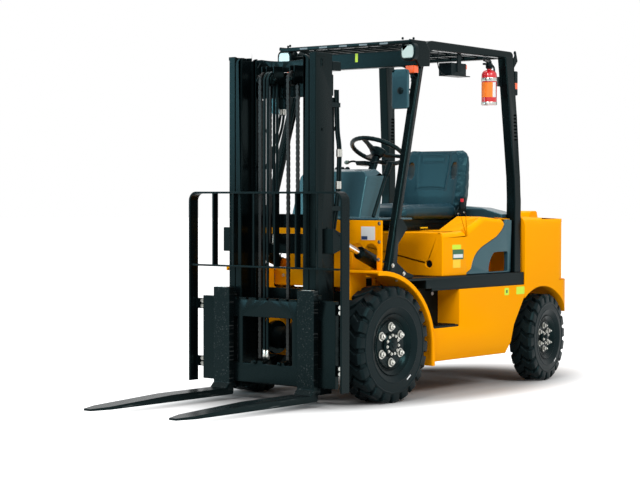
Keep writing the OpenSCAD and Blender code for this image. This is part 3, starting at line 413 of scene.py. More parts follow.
def round_corners(u0, v0, u1, v1, radius, steps=6):
    outline = []
    for cu, cv, turn in ((u1, v1, 0), (u0, v1, 90), (u0, v0, 180), (u1, v0, 270)):
        centre_u = cu - math.copysign(radius, cu - (u0 + u1) / 2)
        centre_v = cv - math.copysign(radius, cv - (v0 + v1) / 2)
        for k in range(steps + 1):
            angle = math.radians(turn + 90 * k / steps)
            outline.append((centre_u + radius * math.cos(angle), centre_v + radius * math.sin(angle)))
    return outline


# Screws, nuts and rivets: one hexagon or round head on a washer at each place, pointing along its own line.
def fastener_group():
    group = bpy.data.node_groups.new("fasteners", "GeometryNodeTree")
    face = group.interface
    face.new_socket("Geometry", in_out="INPUT", socket_type="NodeSocketGeometry")
    for name, kind in (("Head Radius", "NodeSocketFloat"), ("Head Height", "NodeSocketFloat"),
                       ("Washer Radius", "NodeSocketFloat"), ("Sides", "NodeSocketInt"),
                       ("Material", "NodeSocketMaterial")):
        face.new_socket(name, in_out="INPUT", socket_type=kind)
    face.new_socket("Geometry", in_out="OUTPUT", socket_type="NodeSocketGeometry")
    start = group.nodes.new("NodeGroupInput")
    end = group.nodes.new("NodeGroupOutput")
    aim = group.nodes.new("GeometryNodeInputNamedAttribute")
    aim.data_type = "FLOAT_VECTOR"
    aim.inputs["Name"].default_value = "aim"
    turn = group.nodes.new("FunctionNodeAlignEulerToVector")
    turn.axis = "Z"
    points = group.nodes.new("GeometryNodeInstanceOnPoints")
    solid = group.nodes.new("GeometryNodeJoinGeometry")
    head = group.nodes.new("GeometryNodeMeshCylinder")
    washer = group.nodes.new("GeometryNodeMeshCylinder")
    washer.inputs["Vertices"].default_value = 20
    washer.inputs["Depth"].default_value = 0.0016
    group.links.new(start.outputs["Sides"], head.inputs["Vertices"])
    group.links.new(start.outputs["Head Radius"], head.inputs["Radius"])
    group.links.new(start.outputs["Head Height"], head.inputs["Depth"])
    group.links.new(start.outputs["Washer Radius"], washer.inputs["Radius"])
    group.links.new(head.outputs["Mesh"], solid.inputs[0])
    group.links.new(washer.outputs["Mesh"], solid.inputs[0])
    group.links.new(start.outputs["Geometry"], points.inputs["Points"])
    group.links.new(solid.outputs[0], points.inputs["Instance"])
    group.links.new(aim.outputs["Attribute"], turn.inputs["Vector"])
    group.links.new(turn.outputs[0], points.inputs["Rotation"])
    real = group.nodes.new("GeometryNodeRealizeInstances")
    paint = group.nodes.new("GeometryNodeSetMaterial")
    group.links.new(points.outputs[0], real.inputs[0])
    group.links.new(real.outputs[0], paint.inputs["Geometry"])
    group.links.new(start.outputs["Material"], paint.inputs["Material"])
    group.links.new(paint.outputs[0], end.inputs[0])
    return group


fasteners = fastener_group()


def settled(name, holder, group, values, body, material, crease=35.0):
    made = holder.modifiers.new("made", "NODES")
    made.node_group = group
    sockets = {item.name: item.identifier for item in group.interface.items_tree if item.in_out == "INPUT"}
    for key, value in values.items():
        made[sockets[key]] = value
    scene.collection.objects.link(holder)
    bpy.context.view_layer.update()
    ready = holder.evaluated_get(bpy.context.evaluated_depsgraph_get())
    mesh = bpy.data.meshes.new_from_object(ready)
    mesh.name = name
    bpy.data.objects.remove(holder)
    if not mesh.materials:
        mesh.materials.append(material)
    piece = bpy.data.objects.new(name, mesh)
    scene.collection.objects.link(piece)
    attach(piece, body)
    return piece


def fasten(name, body, places, radius, height, material, sides=6, washer=1.35):
    mesh = bpy.data.meshes.new(name + "_places")
    mesh.from_pydata([at(*place) for place, _ in places], [], [])
    aim = mesh.attributes.new("aim", "FLOAT_VECTOR", "POINT")
    for i, (_, direction) in enumerate(places):
        aim.data[i].vector = direction
    holder = bpy.data.objects.new(name + "_places", mesh)
    values = {"Head Radius": radius / 1000, "Head Height": 2 * height / 1000, "Sides": sides,
              "Washer Radius": washer * radius / 1000, "Material": material}
    return settled(name, holder, fasteners, values, body, material)


def both_sides(places):
    mirrored = [((x, -y, z), (a, -b, c)) for (x, y, z), (a, b, c) in places]
    return places + mirrored


zinc = finish_material("zinc_plate", (0.62, 0.62, 0.58), (0.50, 0.50, 0.46), 0.28, 0.1, 600.0, metallic=1.0,
                       dust_share=0.05)
label_white = finish_material("blank_label", (0.78, 0.80, 0.80), (0.72, 0.75, 0.76), 0.4, 0.02, 300.0, dust_share=0.0)
label_blue = finish_material("blue_label", (0.02, 0.05, 0.14), (0.03, 0.06, 0.16), 0.4, 0.02, 300.0, dust_share=0.0)
label_lime = finish_material("lime_label", (0.62, 0.85, 0.02), (0.56, 0.80, 0.02), 0.4, 0.02, 300.0, dust_share=0.0)
label_green = finish_material("green_label", (0.005, 0.09, 0.03), (0.006, 0.11, 0.04), 0.4, 0.02, 300.0,
                              dust_share=0.0)
label_amber = finish_material("amber_label", (0.95, 0.62, 0.01), (0.90, 0.58, 0.01), 0.4, 0.02, 300.0,
                              dust_share=0.0)

fasten("plate_bolts", "chassis",
       both_sides([((-18, 452, 1026), (1, 0, 0)), ((-18, 452, 920), (1, 0, 0)), ((-18, 446, 818), (1, 0, 0)),
                   ((-18, 271, 708), (1, 0, 0))]), 8, 5, zinc)
fasten("fender_bolts", "chassis", both_sides([((-211, 581, 629), (0, 1, 0)),
                                                       ((-380, 581, 400), (0, 1, 0))]), 6, 3, enamel)
labels = bmesh.new()
add_plate(labels, round_corners(320, 930, 420, 1008, 4), "x", -20.5, -18.6, 0)
add_plate(labels, round_corners(322, 932, 366, 952, 2), "x", -18.7, -18.2, 1)
piece_of("rating_plate", labels, "chassis", "cowl", label_white, label_blue)

# Film labels: blank printed vinyl in lime, green, amber and white, stuck on the hood's left side
# and on the frame's left side tank.
hood_labels = bmesh.new()
for slot, (x0, x1, z0, z1) in enumerate(((-738, -645, 864, 892), (-765, -650, 803, 862), (-734, -653, 752, 801))):
    add_plate(hood_labels, round_corners(x0, z0, x1, z1, 4), "y", 525.6, 526.8, slot)
add_plate(hood_labels, round_corners(-757, 812, -658, 834, 2), "y", 526.5, 527.2, 3)
piece_of("hood_labels", hood_labels, "hood_assembly", "hood", label_lime, label_green, label_amber, label_white)
frame_labels = bmesh.new()
add_plate(frame_labels, round_corners(-1216, 567, -1166, 613, 8), "y", 559.5, 560.8, 0)
add_plate(frame_labels, round_corners(-1395, 567, -1301, 615, 4), "y", 559.5, 560.8, 0)
add_plate(frame_labels, round_corners(-1200, 580, -1184, 600, 3), "y", 560.5, 561.2, 1)
piece_of("frame_labels", frame_labels, "chassis", "frame", label_lime, label_green)

# Floor plate: folded steel under a ribbed rubber mat, black at its edges over the side tanks.
# The lower step is a pressed tray with raised treads, and a round white reflector sits above it.
rubber_mat = finish_material("rubber_mat", (0.0022, 0.0034, 0.0040), (0.0040, 0.0056, 0.0062), 0.42, 0.2, 500.0,
                             dust_share=0.0, specular=0.12, tint=painted_cool_sheen)
dress("floor_plate", rubber_mat, 0.003)


def placed_group():
    group = bpy.data.node_groups.new("set_in_place", "GeometryNodeTree")
    face = group.interface
    face.new_socket("Geometry", in_out="INPUT", socket_type="NodeSocketGeometry")
    face.new_socket("Piece", in_out="INPUT", socket_type="NodeSocketObject")
    face.new_socket("Material", in_out="INPUT", socket_type="NodeSocketMaterial")
    face.new_socket("Geometry", in_out="OUTPUT", socket_type="NodeSocketGeometry")
    start = group.nodes.new("NodeGroupInput")
    end = group.nodes.new("NodeGroupOutput")
    info = group.nodes.new("GeometryNodeObjectInfo")
    aim = group.nodes.new("GeometryNodeInputNamedAttribute")
    aim.data_type = "FLOAT_VECTOR"
    aim.inputs["Name"].default_value = "aim"
    turn = group.nodes.new("FunctionNodeAlignEulerToVector")
    turn.axis = "Z"
    points = group.nodes.new("GeometryNodeInstanceOnPoints")
    real = group.nodes.new("GeometryNodeRealizeInstances")
    paint = group.nodes.new("GeometryNodeSetMaterial")
    group.links.new(start.outputs["Piece"], info.inputs["Object"])
    group.links.new(start.outputs["Geometry"], points.inputs["Points"])
    group.links.new(info.outputs["Geometry"], points.inputs["Instance"])
    group.links.new(aim.outputs["Attribute"], turn.inputs["Vector"])
    group.links.new(turn.outputs[0], points.inputs["Rotation"])
    group.links.new(points.outputs[0], real.inputs[0])
    group.links.new(real.outputs[0], paint.inputs["Geometry"])
    group.links.new(start.outputs["Material"], paint.inputs["Material"])
    group.links.new(paint.outputs[0], end.inputs[0])
    return group


set_in_place = placed_group()


# One small solid, drawn round the origin with z along its line, is set at each place of a row.
def repeat(name, one, places, body, material):
    bmesh.ops.recalc_face_normals(one, faces=one.faces)
    solid = bpy.data.meshes.new(name + "_one")
    one.to_mesh(solid)
    one.free()
    single = bpy.data.objects.new(name + "_one", solid)
    scene.collection.objects.link(single)
    mesh = bpy.data.meshes.new(name + "_places")
    mesh.from_pydata([at(*place) for place, _ in places], [], [])
    aim = mesh.attributes.new("aim", "FLOAT_VECTOR", "POINT")
    for i, (_, direction) in enumerate(places):
        aim.data[i].vector = direction
    holder = bpy.data.objects.new(name + "_places", mesh)
    piece = settled(name, holder, set_in_place, {"Piece": single, "Material": material}, body, material)
    bpy.data.objects.remove(single)
    return piece


# A small closed block round the origin, with its four long edges cut, sizes in millimetres.
def cut_block(x, y, z, cut):
    block = bmesh.new()
    a, b = x / 2000, y / 2000
    c = cut / 1000
    ring = [(a, b - c), (a - c, b), (c - a, b), (-a, b - c), (-a, c - b), (c - a, -b), (a - c, -b), (a, c - b)]
    low = [block.verts.new((u, v, -z / 2000)) for u, v in ring]
    high = [block.verts.new((u, v, z / 2000)) for u, v in ring]
    block.faces.new(low)
    block.faces.new(high)
    for i in range(8):
        block.faces.new((low[i], low[(i + 1) % 8], high[(i + 1) % 8], high[i]))
    return block


repeat("mat_ribs", cut_block(176, 5, 3, 1.5), [((-436, y, 706.2), (0, 0, 1)) for y in range(-432, 433, 12)],
       "chassis", rubber_mat)
repeat("step_treads", cut_block(10, 120, 5, 3), [((x, side * 484, 416), (0, 0, 1)) for x in range(-650, -420, 26)
                                                for side in (-1, 1)], "chassis", rubber_mat)


def frame_along(direction):
    z = Vector(direction).normalized()
    side = Vector((0, 0, 1)) if abs(z.z) < 0.9 else Vector((1, 0, 0))
    x = side.cross(z).normalized()
    return x, z.cross(x), z


# A turned shape: (radius, distance) pairs in millimetres, revolved round the line from origin along direction.
def add_turned(bm, origin, direction, profile, steps=32, material=0, phase=0.0):
    x, y, z = frame_along(direction)
    start = at(*origin)
    rings = []
    for radius, along in profile:
        centre = start + z * (along / 1000)
        if radius <= 0:
            rings.append([bm.verts.new(centre)])
            continue
        ring = []
        for i in range(steps):
            angle = 2 * math.pi * i / steps + phase
            ring.append(bm.verts.new(centre + (x * math.cos(angle) + y * math.sin(angle)) * (radius / 1000)))
        rings.append(ring)
    for one, two in zip(rings, rings[1:]):
        for i in range(steps):
            j = (i + 1) % steps
            if len(one) == 1 and len(two) == 1:
                continue
            if len(one) == 1:
                face = bm.faces.new((one[0], two[j], two[i]))
            elif len(two) == 1:
                face = bm.faces.new((one[i], one[j], two[0]))
            else:
                face = bm.faces.new((one[i], one[j], two[j], two[i]))
            face.material_index = material


reflector = bmesh.new()
add_turned(reflector, (-616, 400.5, 597), (0, 1, 0), [(0, 0), (11, 0), (11, 3), (8, 5), (0, 6)], 24)
piece_of("step_reflector", reflector, "chassis", "floor_plate", label_white)

# Console: one vacuum-moulded shell in dark grey plastic with a fine leather grain, clipped over the steering box.
# It stands on a shelf that caps the front plate.
moulded = finish_material("moulded_plastic", (0.020, 0.056, 0.074), (0.028, 0.070, 0.090), 0.24, 0.12, 900.0,
                          dust_share=0.0, specular=0.55, tint=painted_cool_sheen)
dress("dashboard", moulded, 0.009, segments=3)

# Steering column: a steel tube under a two-part plastic cover, with a direction lever on its left side
# and a small lamp switch on the other. The pale knob is screwed on.
satin_plastic = finish_material("black_plastic", (0.0025, 0.0045, 0.0055), (0.0040, 0.0066, 0.0078), 0.32, 0.1, 900.0,
                                dust_share=0.0, specular=0.12, tint=painted_cool_sheen)
dress("steering_column", satin_plastic, 0.008, segments=3)


def smooth_path(points, count):
    spline = [Vector(points[0])] + [Vector(p) for p in points] + [Vector(points[-1])]
    path = []
    for i in range(1, len(spline) - 2):
        for k in range(count):
            t = k / count
            a, b, c, d = spline[i - 1:i + 3]
            path.append(0.5 * (2 * b + (c - a) * t + (2 * a - 5 * b + 4 * c - d) * t * t
                               + (3 * b - a - 3 * c + d) * t * t * t))
    path.append(Vector(points[-1]))
    return path


def add_pipe(bm, points, radius, count=6, steps=12, material=0):
    path = smooth_path(points, count)
    rings = []
    x = frame_along(path[1] - path[0])[0]
    for i, point in enumerate(path):
        tangent = (path[min(i + 1, len(path) - 1)] - path[max(i - 1, 0)]).normalized()
        x = (x - tangent * x.dot(tangent)).normalized()
        y = tangent.cross(x)
        ring = []
        for k in range(steps):
            angle = 2 * math.pi * k / steps
            ring.append(bm.verts.new(at(*(point + (x * math.cos(angle) + y * math.sin(angle)) * radius))))
        rings.append(ring)
    for one, two in zip(rings, rings[1:]):
        for k in range(steps):
            bm.faces.new((one[k], one[(k + 1) % steps], two[(k + 1) % steps], two[k])).material_index = material
    bm.faces.new(rings[0]).material_index = material
    bm.faces.new(rings[-1]).material_index = material


stalk = bmesh.new()
add_pipe(stalk, [(-545, -90, 1385), (-520, -128, 1398), (-511, -160, 1392)], 6, count=5)
add_turned(stalk, (-511, -156, 1393), (0.0, -1.0, -0.1), [(0, 0), (9, 2), (13, 10), (13, 22), (9, 32), (0, 34)],
           20, 1)
add_pipe(stalk, [(-545, -14, 1384), (-520, 60, 1392), (-505, 122, 1400)], 6, count=5)
add_turned(stalk, (-506, 118, 1400), (0.1, 1.0, 0.1), [(0, 0), (8, 2), (10, 12), (8, 36), (0, 38)], 20)
pale_knob = finish_material("pale_knob", (0.20, 0.28, 0.24), (0.16, 0.24, 0.2), 0.35, 0.05, 500.0)
piece_of("column_levers", stalk, "chassis", "steering_column", satin_plastic, pale_knob, bevel=0.001)

# Pedals, lift and tilt levers, and the parking brake lever with its ribbed grip.
dress("controls", satin_plastic, 0.002)
grip_rings = bmesh.new()
brake_up = Vector((-math.sin(math.radians(30)), 0, math.cos(math.radians(30))))
brake_grip = Vector((-262, 330, 1342))
for i in range(6):
    low = brake_grip + brake_up * (-40 + 14 * i)
    add_turned(grip_rings, low, brake_up, [(15, 0), (19.5, 2), (19.5, 6), (15, 8), (15, 0)], 24)
piece_of("brake_grip_rings", grip_rings, "chassis", "controls", satin_plastic)
knobs = bmesh.new()
for y in (-210, -170, -130):
    add_turned(knobs, (-444, y, 1342.8), (-0.94, 0, 0.34), [(0, 0), (7, 0), (13, 8), (15, 18), (12, 28), (0, 33)], 20)
piece_of("lever_knobs", knobs, "chassis", "controls", satin_plastic)

# Engine and axles: rough iron castings under black paint, bolted to the frame's plates.
# The steer axle carries a knuckle on a kingpin at each end.
casting = finish_material("painted_casting", (0.0025, 0.0040, 0.0045), (0.0050, 0.0070, 0.0078), 0.45, 0.4, 420.0,
                          dust_share=0.0, specular=0.12, tint=painted_cool_sheen)
for node in ("engine", "drive_axle", "steer_axle", "knuckle_left", "knuckle_right"):
    dress(node, casting, 0.004)

# Tyres: solid black rubber pressed on the wheel bands. Each side has lugs that end in a chevron at the middle,
# half a pitch apart, and notches run down the shoulder to a fine moulded line on the side wall.
tyre_rubber = finish_material("tyre_rubber", (0.0035, 0.0058, 0.0066), (0.0065, 0.0100, 0.0112), 0.40, 0.2, 350.0,
                              dust_share=0.0, specular=0.10, tint=painted_cool_sheen)
tyre_sizes = {"front": (335, 188, 152, 22), "rear": (278, 158, 114, 20)}
lug_depth = 20


def tyre_rows(radius, width, bead):
    half = width / 2
    low = radius - lug_depth
    wall = [(bead + 1.2, half - 36, 0), (bead + 22, half - 22, 0), (bead + 42, half - 5, 0), (bead + 60, half, 0),
            (bead + 63, half + 1.8, 0), (bead + 66, half + 1.8, 0), (bead + 69, half, 0),
            (radius - 66, half - 1, 0), (radius - 62, half + 1.5, 0), (radius - 58, half + 1.5, 0),
            (radius - 54, half - 1, 0), (radius - 52, half - 1.5, 0)]
    rows = [(r, r, y, y, shift) for r, y, shift in wall]
    rows += [(radius - 46, radius - 52, half - 1.5, half - 6, 0), (radius - 17, low - 19, half - 4, half - 9, 0),
             (radius - 13, low - 16, half - 5, half - 11, 0), (radius - 3, low - 3, half - 14, half - 17, 0),
             (radius, low, half - 19, half - 21, 0), (radius, low, width * 0.3, width * 0.3, -0.04),
             (radius, low, width * 0.14, width * 0.14, 0.24), (radius, low, width * 0.05, width * 0.05, 0.38)]
    other = [(top, dip, -y, -y_dip, shift) for top, dip, y, y_dip, shift in reversed(rows)]
    return [(top, dip, y, y_dip, 0.5 + shift) for top, dip, y, y_dip, shift in rows] + other


def add_tyre(bm, place, radius, width, bead, lugs):
    steps = [(0.0, 0.10), (0.03, 0.0), (0.62, 0.0), (0.65, 0.10), (0.72, 1.0), (0.93, 1.0)]
    rows = tyre_rows(radius, width, bead)
    turns = []
    for lug in range(lugs):
        for share, depth in steps:
            ring = []
            for top, dip, y, y_dip, shift in rows:
                angle = (lug + share + shift) * 2 * math.pi / lugs
                r = top + (dip - top) * depth
                point = (r * math.sin(angle), y + (y_dip - y) * depth, -r * math.cos(angle))
                ring.append(bm.verts.new(at(*place(point))))
            turns.append(ring)
    for a, ring in enumerate(turns):
        after = turns[(a + 1) % len(turns)]
        for b in range(len(rows)):
            c = (b + 1) % len(rows)
            bm.faces.new((ring[b], ring[c], after[c], after[b]))


# A wheel's own axes: x forwards and y outwards, turned about the kingpin on the steered wheels.
steer_lock = math.radians(8)


def wheel_place(end, side):
    if end == "front":
        return lambda p: (p[0], side * (488 + p[1]), 335 + p[2])
    turn_sin, turn_cos = math.sin(steer_lock), math.cos(steer_lock)

    def place(p):
        out, along = 101 + p[1], p[0]
        return (-1630 + along * turn_cos - side * out * turn_sin,
                side * 400 + along * turn_sin + side * out * turn_cos, 278 + p[2])
    return place


for end in ("front", "rear"):
    radius, width, bead, lugs = tyre_sizes[end]
    for side, hand in ((1, "left"), (-1, "right")):
        rubber = bmesh.new()
        place = wheel_place(end, side)
        add_tyre(rubber, place, radius, width, bead, lugs)
        name = f"tyre_{end}_{hand}"
        tyre = piece_of(name + "_moulded", rubber, f"wheel_{end}_{hand}", name, tyre_rubber, crease=28)
        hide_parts(name)
        mark = bmesh.new()
        mid = bead + (radius - 66 - bead) * 0.72
        angle = math.radians(214)
        corners = []
        for r in (mid - 4, mid + 4):
            for turn in (-0.09, 0.09):
                corners.append((r, angle + turn))
        quad = []
        for y in (width / 2 - 1.5, width / 2 + 0.9):
            quad.append([mark.verts.new(at(*place((r * math.sin(a), y, r * math.cos(a))))) for r, a in corners])
        for loop in ((0, 1, 3, 2),):
            mark.faces.new([quad[0][i] for i in loop])
            mark.faces.new([quad[1][i] for i in loop])
            for i in range(4):
                j = loop[(i + 1) % 4]
                mark.faces.new((quad[0][loop[i]], quad[0][j], quad[1][j], quad[1][loop[i]]))
        piece_of(name + "_mark", mark, f"wheel_{end}_{hand}", name, label_white)

# Wheels: pressed steel discs and flanged bands, painted black. The front ones are held by six large nuts on the disc
# and the axle shaft's flange by a ring of small bolts. The rear hubs have a bearing cap.
black_enamel = finish_material("black_enamel", (0.0012, 0.0024, 0.0028), (0.0022, 0.0038, 0.0042), 0.26, 0.03, 320.0,
                               dust_share=0.0, specular=0.12, tint=painted_cool_sheen)
for end, disc, nut_ring, nut_radius, hub_ring, hub_bolts, hub_radius in (
        ("front", 60, 102, 19, 54, 11, 40), ("rear", 43, 74, 12, 36, 6, 24)):
    for side, hand in ((1, "left"), (-1, "right")):
        dress(f"rim_{end}_{hand}", black_enamel, 0.002)
        body = f"wheel_{end}_{hand}"
        place = wheel_place(end, side)
        origin = Vector(place((0, 0, 0)))
        out = (Vector(place((0, 1, 0))) - origin).normalized()
        nuts = []
        for i in range(6):
            angle = math.radians(60 * i + 30)
            spot = place((nut_ring * math.cos(angle), disc + 1.5, -nut_ring * math.sin(angle)))
            nuts.append((spot, out))
        nut = bmesh.new()
        profile = [(nut_radius + 7, 0), (nut_radius + 7, 3), (nut_radius + 1, 4), (nut_radius, 15), (nut_radius - 4, 19),
                   (nut_radius * 0.55, 19), (nut_radius * 0.5, 26), (nut_radius * 0.36, 28)]
        rings = []
        for k, (r, z) in enumerate(profile):
            sides = 24
            ring = []
            for i in range(sides):
                a = 2 * math.pi * i / sides
                flat = r
                if 2 <= k <= 4:
                    flat = r / max(math.cos((a + math.pi / 6) % (math.pi / 3) - math.pi / 6), 0.2) * 0.93
                ring.append(nut.verts.new((flat * math.cos(a) / 1000, flat * math.sin(a) / 1000, z / 1000)))
            rings.append(ring)
        for one, two in zip(rings, rings[1:]):
            for i in range(24):
                nut.faces.new((one[i], one[(i + 1) % 24], two[(i + 1) % 24], two[i]))
        nut.faces.new(rings[0])
        nut.faces.new(rings[-1])
        repeat(f"wheel_nuts_{end}_{hand}", nut, nuts, body, zinc)
        small = []
        for i in range(hub_bolts):
            angle = 2 * math.pi * (i + 0.3) / hub_bolts
            spot = place((hub_ring * math.cos(angle), disc + 18, -hub_ring * math.sin(angle)))
            small.append((spot, out))
        fasten(f"hub_bolts_{end}_{hand}", body, small, 6.5, 6, zinc)
        cap = bmesh.new()
        centre = place((0, disc - 4, 0))
        add_turned(cap, centre, out, [(0, 0), (hub_radius, 0), (hub_radius, 22), (hub_radius - 5, 27),
                                      (hub_radius * 0.5, 29), (hub_radius * 0.45, 33), (0, 34)], 36)
        piece_of(f"hub_cap_{end}_{hand}", cap, body, f"rim_{end}_{hand}", black_enamel)

# Covers behind the hood: moulded plastic round the air intake, with a slatted screen over the radiator,
# clipped on the counterweight and the hood's rear edge.
dress("engine_covers", moulded, 0.006, segments=3)

# Seat frame: two runners bolted to the hood, painted black, with yellow slide strips that show under the cushion.
dress("seat_base", black_enamel, 0.003)


def add_box(bm, low, high, material=0):
    made = bmesh.ops.create_cube(bm, size=1.0)["verts"]
    a, b = at(*low), at(*high)
    for vertex in made:
        vertex.co = Vector([a[i] + (vertex.co[i] + 0.5) * (b[i] - a[i]) for i in range(3)])
    for face in {face for vertex in made for face in vertex.link_faces}:
        face.material_index = material


runners = bmesh.new()
for side in (-1, 1):
    add_box(runners, (-858, side * 190 - 4, 984), (-780, side * 190 + 4, 992))
piece_of("runner_strips", runners, "hood_assembly", "seat_base", label_amber)

# Seat: moulded foam under black-blue vinyl. The back has wide shoulders, raised side bolsters, an oval hand hole
# on each side and a centre pad with a sewn lower edge. The cushion is crowned, with a rolled front.
vinyl = finish_material("seat_vinyl", (0.008, 0.030, 0.044), (0.012, 0.040, 0.056), 0.34, 0.2, 700.0, blotch_scale=9.0,
                        dust_share=0.0, specular=0.25, tint=painted_cool_sheen)


def foam(name, bm, body, node, pressure=4.0, cap=0.016, voxel=0.006):
    bmesh.ops.remove_doubles(bm, verts=bm.verts, dist=0.00001)
    bmesh.ops.recalc_face_normals(bm, faces=bm.faces)
    mesh = bpy.data.meshes.new(name)
    bm.to_mesh(mesh)
    bm.free()
    mesh.materials.append(vinyl)
    pad = bpy.data.objects.new(name, mesh)
    scene.collection.objects.link(pad)
    bpy.context.view_layer.objects.active = pad
    pad.select_set(True)
    remesh = pad.modifiers.new("remesh", "REMESH")
    remesh.mode = "VOXEL"
    remesh.voxel_size = voxel
    remesh.use_smooth_shade = True
    bpy.ops.object.modifier_apply(modifier=remesh.name)
    first = [vertex.co.copy() for vertex in pad.data.vertices]
    cloth = pad.modifiers.new("cloth", "CLOTH")
    cloth.settings.use_pressure = True
    cloth.settings.uniform_pressure_force = pressure
    cloth.settings.effector_weights.gravity = 0.0
    cloth.settings.quality = 5
    cloth.settings.tension_stiffness = 20
    cloth.settings.compression_stiffness = 20
    scene.frame_start, scene.frame_end = 1, 20
    for number in range(1, 21):
        scene.frame_set(number)
    ready = pad.evaluated_get(bpy.context.evaluated_depsgraph_get())
    swollen = [vertex.co.copy() for vertex in ready.data.vertices]
    pad.modifiers.remove(cloth)
    scene.frame_set(1)
    for vertex, start, end in zip(pad.data.vertices, first, swollen):
        move = end - start
        if move.length > cap:
            move *= cap / move.length
        vertex.co = start + move
    pad.select_set(False)
    for face in pad.data.polygons:
        face.use_smooth = True
    return pad


def smooth_step(low, high, value):
    t = min(1.0, max(0.0, (value - low) / (high - low)))
    return t * t * (3 - 2 * t)


# A sewn line presses a narrow valley into the cover. Distances are in millimetres.
def press_lines(pad, lines, direction, depth, width, facing):
    normals = [vertex.normal.copy() for vertex in pad.data.vertices]
    aim = Vector(direction)
    for vertex, normal in zip(pad.data.vertices, normals):
        if normal.dot(aim) < facing:
            continue
        x, y, z = (vertex.co.x - axle_x) * 1000, vertex.co.y * 1000, vertex.co.z * 1000
        near = min(line(x, y, z) for line in lines)
        vertex.co -= aim * (depth / 1000) * math.exp(-(near / width) ** 2)


cushion_shape = bmesh.new()
rows = []
for x, half_y, top, low in ((-552, 196, 1066, 1052), (-562, 214, 1088, 1046), (-592, 228, 1106, 1043),
                            (-660, 236, 1118, 1043), (-780, 238, 1122, 1043), (-900, 240, 1124, 1043),
                            (-1020, 240, 1127, 1043), (-1100, 236, 1129, 1043), (-1128, 228, 1122, 1044)):
    ring = []
    for k in range(24):
        turn = 2 * math.pi * k / 24
        u, v = math.cos(turn), math.sin(turn)
        y = half_y * math.copysign(abs(u) ** 0.35, u)
        z = (top + low) / 2 + (top - low) / 2 * math.copysign(abs(v) ** 0.55, v)
        if v > 0:
            z += 9 * smooth_step(120, 205, abs(y)) - 10 * math.exp(-(y / 120) ** 2) * smooth_step(-620, -800, x)
            z = min(z, 1136)
        ring.append(cushion_shape.verts.new(at(x, y, z)))
    rows.append(ring)
for one, two in zip(rows, rows[1:]):
    for k in range(24):
        cushion_shape.faces.new((one[k], one[(k + 1) % 24], two[(k + 1) % 24], two[k]))
cushion_shape.faces.new(rows[0])
cushion_shape.faces.new(rows[-1])
cushion = foam("cushion_cover", cushion_shape, "hood_assembly", "seat_cushion", cap=0.008)
press_lines(cushion, [lambda x, y, z: abs(abs(y) - 168) if x < -620 else 1e3,
                      lambda x, y, z: abs(x + 640) if abs(y) < 168 else 1e3,
                      lambda x, y, z: abs(x + 1010) if abs(y) < 168 else 1e3], (0, 0, 1), 3.2, 5.0, 0.5)
finer = cushion.modifiers.new("finer", "SUBSURF")
finer.levels = finer.render_levels = 1
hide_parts("seat_cushion")
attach(cushion, "hood_assembly")

# The back's outline is given by its half width at each height; the face leans back and wraps forwards at the sides.
back_profile = ((1050, 196), (1080, 222), (1120, 240), (1180, 252), (1250, 257), (1320, 258), (1390, 256),
                (1435, 250), (1465, 232), (1482, 205))
back_shape = bmesh.new()
levels = []
for z, half_y in back_profile:
    lean = -1160 - 50 * smooth_step(1150, 1500, z)
    thick = 88 - 42 * smooth_step(1180, 1490, z)
    front, rear = [], []
    for k in range(25):
        share = k / 12 - 1
        y = half_y * math.sin(share * math.pi / 2) if abs(share) < 1 else half_y * share
        wrap = 34 * smooth_step(0.62, 0.98, abs(y) / 262) * smooth_step(1500, 1380, z)
        hollow = -13 * math.exp(-((abs(y) / 150) ** 4))
        edge = 22 * smooth_step(half_y - 26, half_y, abs(y))
        front.append(back_shape.verts.new(at(lean + wrap * 0.5 + hollow - edge + 8, y, z)))
        rear.append(back_shape.verts.new(at(lean - thick + edge * 0.8 + wrap * 0.15, y, z)))
    levels.append((front, rear))
for (front, rear), (front_up, rear_up) in zip(levels, levels[1:]):
    for k in range(24):
        back_shape.faces.new((front[k], front[k + 1], front_up[k + 1], front_up[k]))
        back_shape.faces.new((rear[k], rear_up[k], rear_up[k + 1], rear[k + 1]))
    for k in (0, 24):
        back_shape.faces.new((front[k], front_up[k], rear_up[k], rear[k]))
for front, rear in (levels[0], levels[-1]):
    for k in range(24):
        back_shape.faces.new((front[k], rear[k], rear[k + 1], front[k + 1]))
back = foam("back_cover", back_shape, "hood_assembly", "seat_back", cap=0.010)
hole_cut = bmesh.new()
for side in (-1, 1):
    outline = []
    for k in range(32):
        turn = 2 * math.pi * k / 32
        outline.append((side * 168 + 25 * math.cos(turn), 1344 + 55 * math.copysign(abs(math.sin(turn)) ** 0.8,
                                                                               math.sin(turn))))
    add_plate(hole_cut, outline, "x", -1330, -1090)
bmesh.ops.recalc_face_normals(hole_cut, faces=hole_cut.faces)
hole_mesh = bpy.data.meshes.new("hand_holes")
hole_cut.to_mesh(hole_mesh)
hole_cut.free()
holes = bpy.data.objects.new("hand_holes", hole_mesh)
scene.collection.objects.link(holes)
cut = back.modifiers.new("cut", "BOOLEAN")
cut.operation = "DIFFERENCE"
cut.solver = "EXACT"
cut.object = holes
bpy.context.view_layer.objects.active = back
back.select_set(True)
bpy.ops.object.modifier_apply(modifier=cut.name)
back.select_set(False)
bpy.data.objects.remove(holes)


def pad_lower(x, y, z):
    return abs(z - (1226 + 10 * math.cos(min(1.0, abs(y) / 115) * math.pi / 2))) if abs(y) < 118 else 1e3


def pad_sides(x, y, z):
    return abs(abs(y) - (112 + 12 * smooth_step(1230, 1400, z))) if 1226 < z < 1455 else 1e3


def panel_frame(x, y, z):
    inside_y, inside_z = abs(y) < 88, 1402 < z < 1440
    if inside_y and inside_z:
        return min(abs(z - 1402), abs(z - 1440), abs(abs(y) - 88))
    return min(abs(z - 1402), abs(z - 1440)) if inside_y else (abs(abs(y) - 88) if inside_z else 1e3)


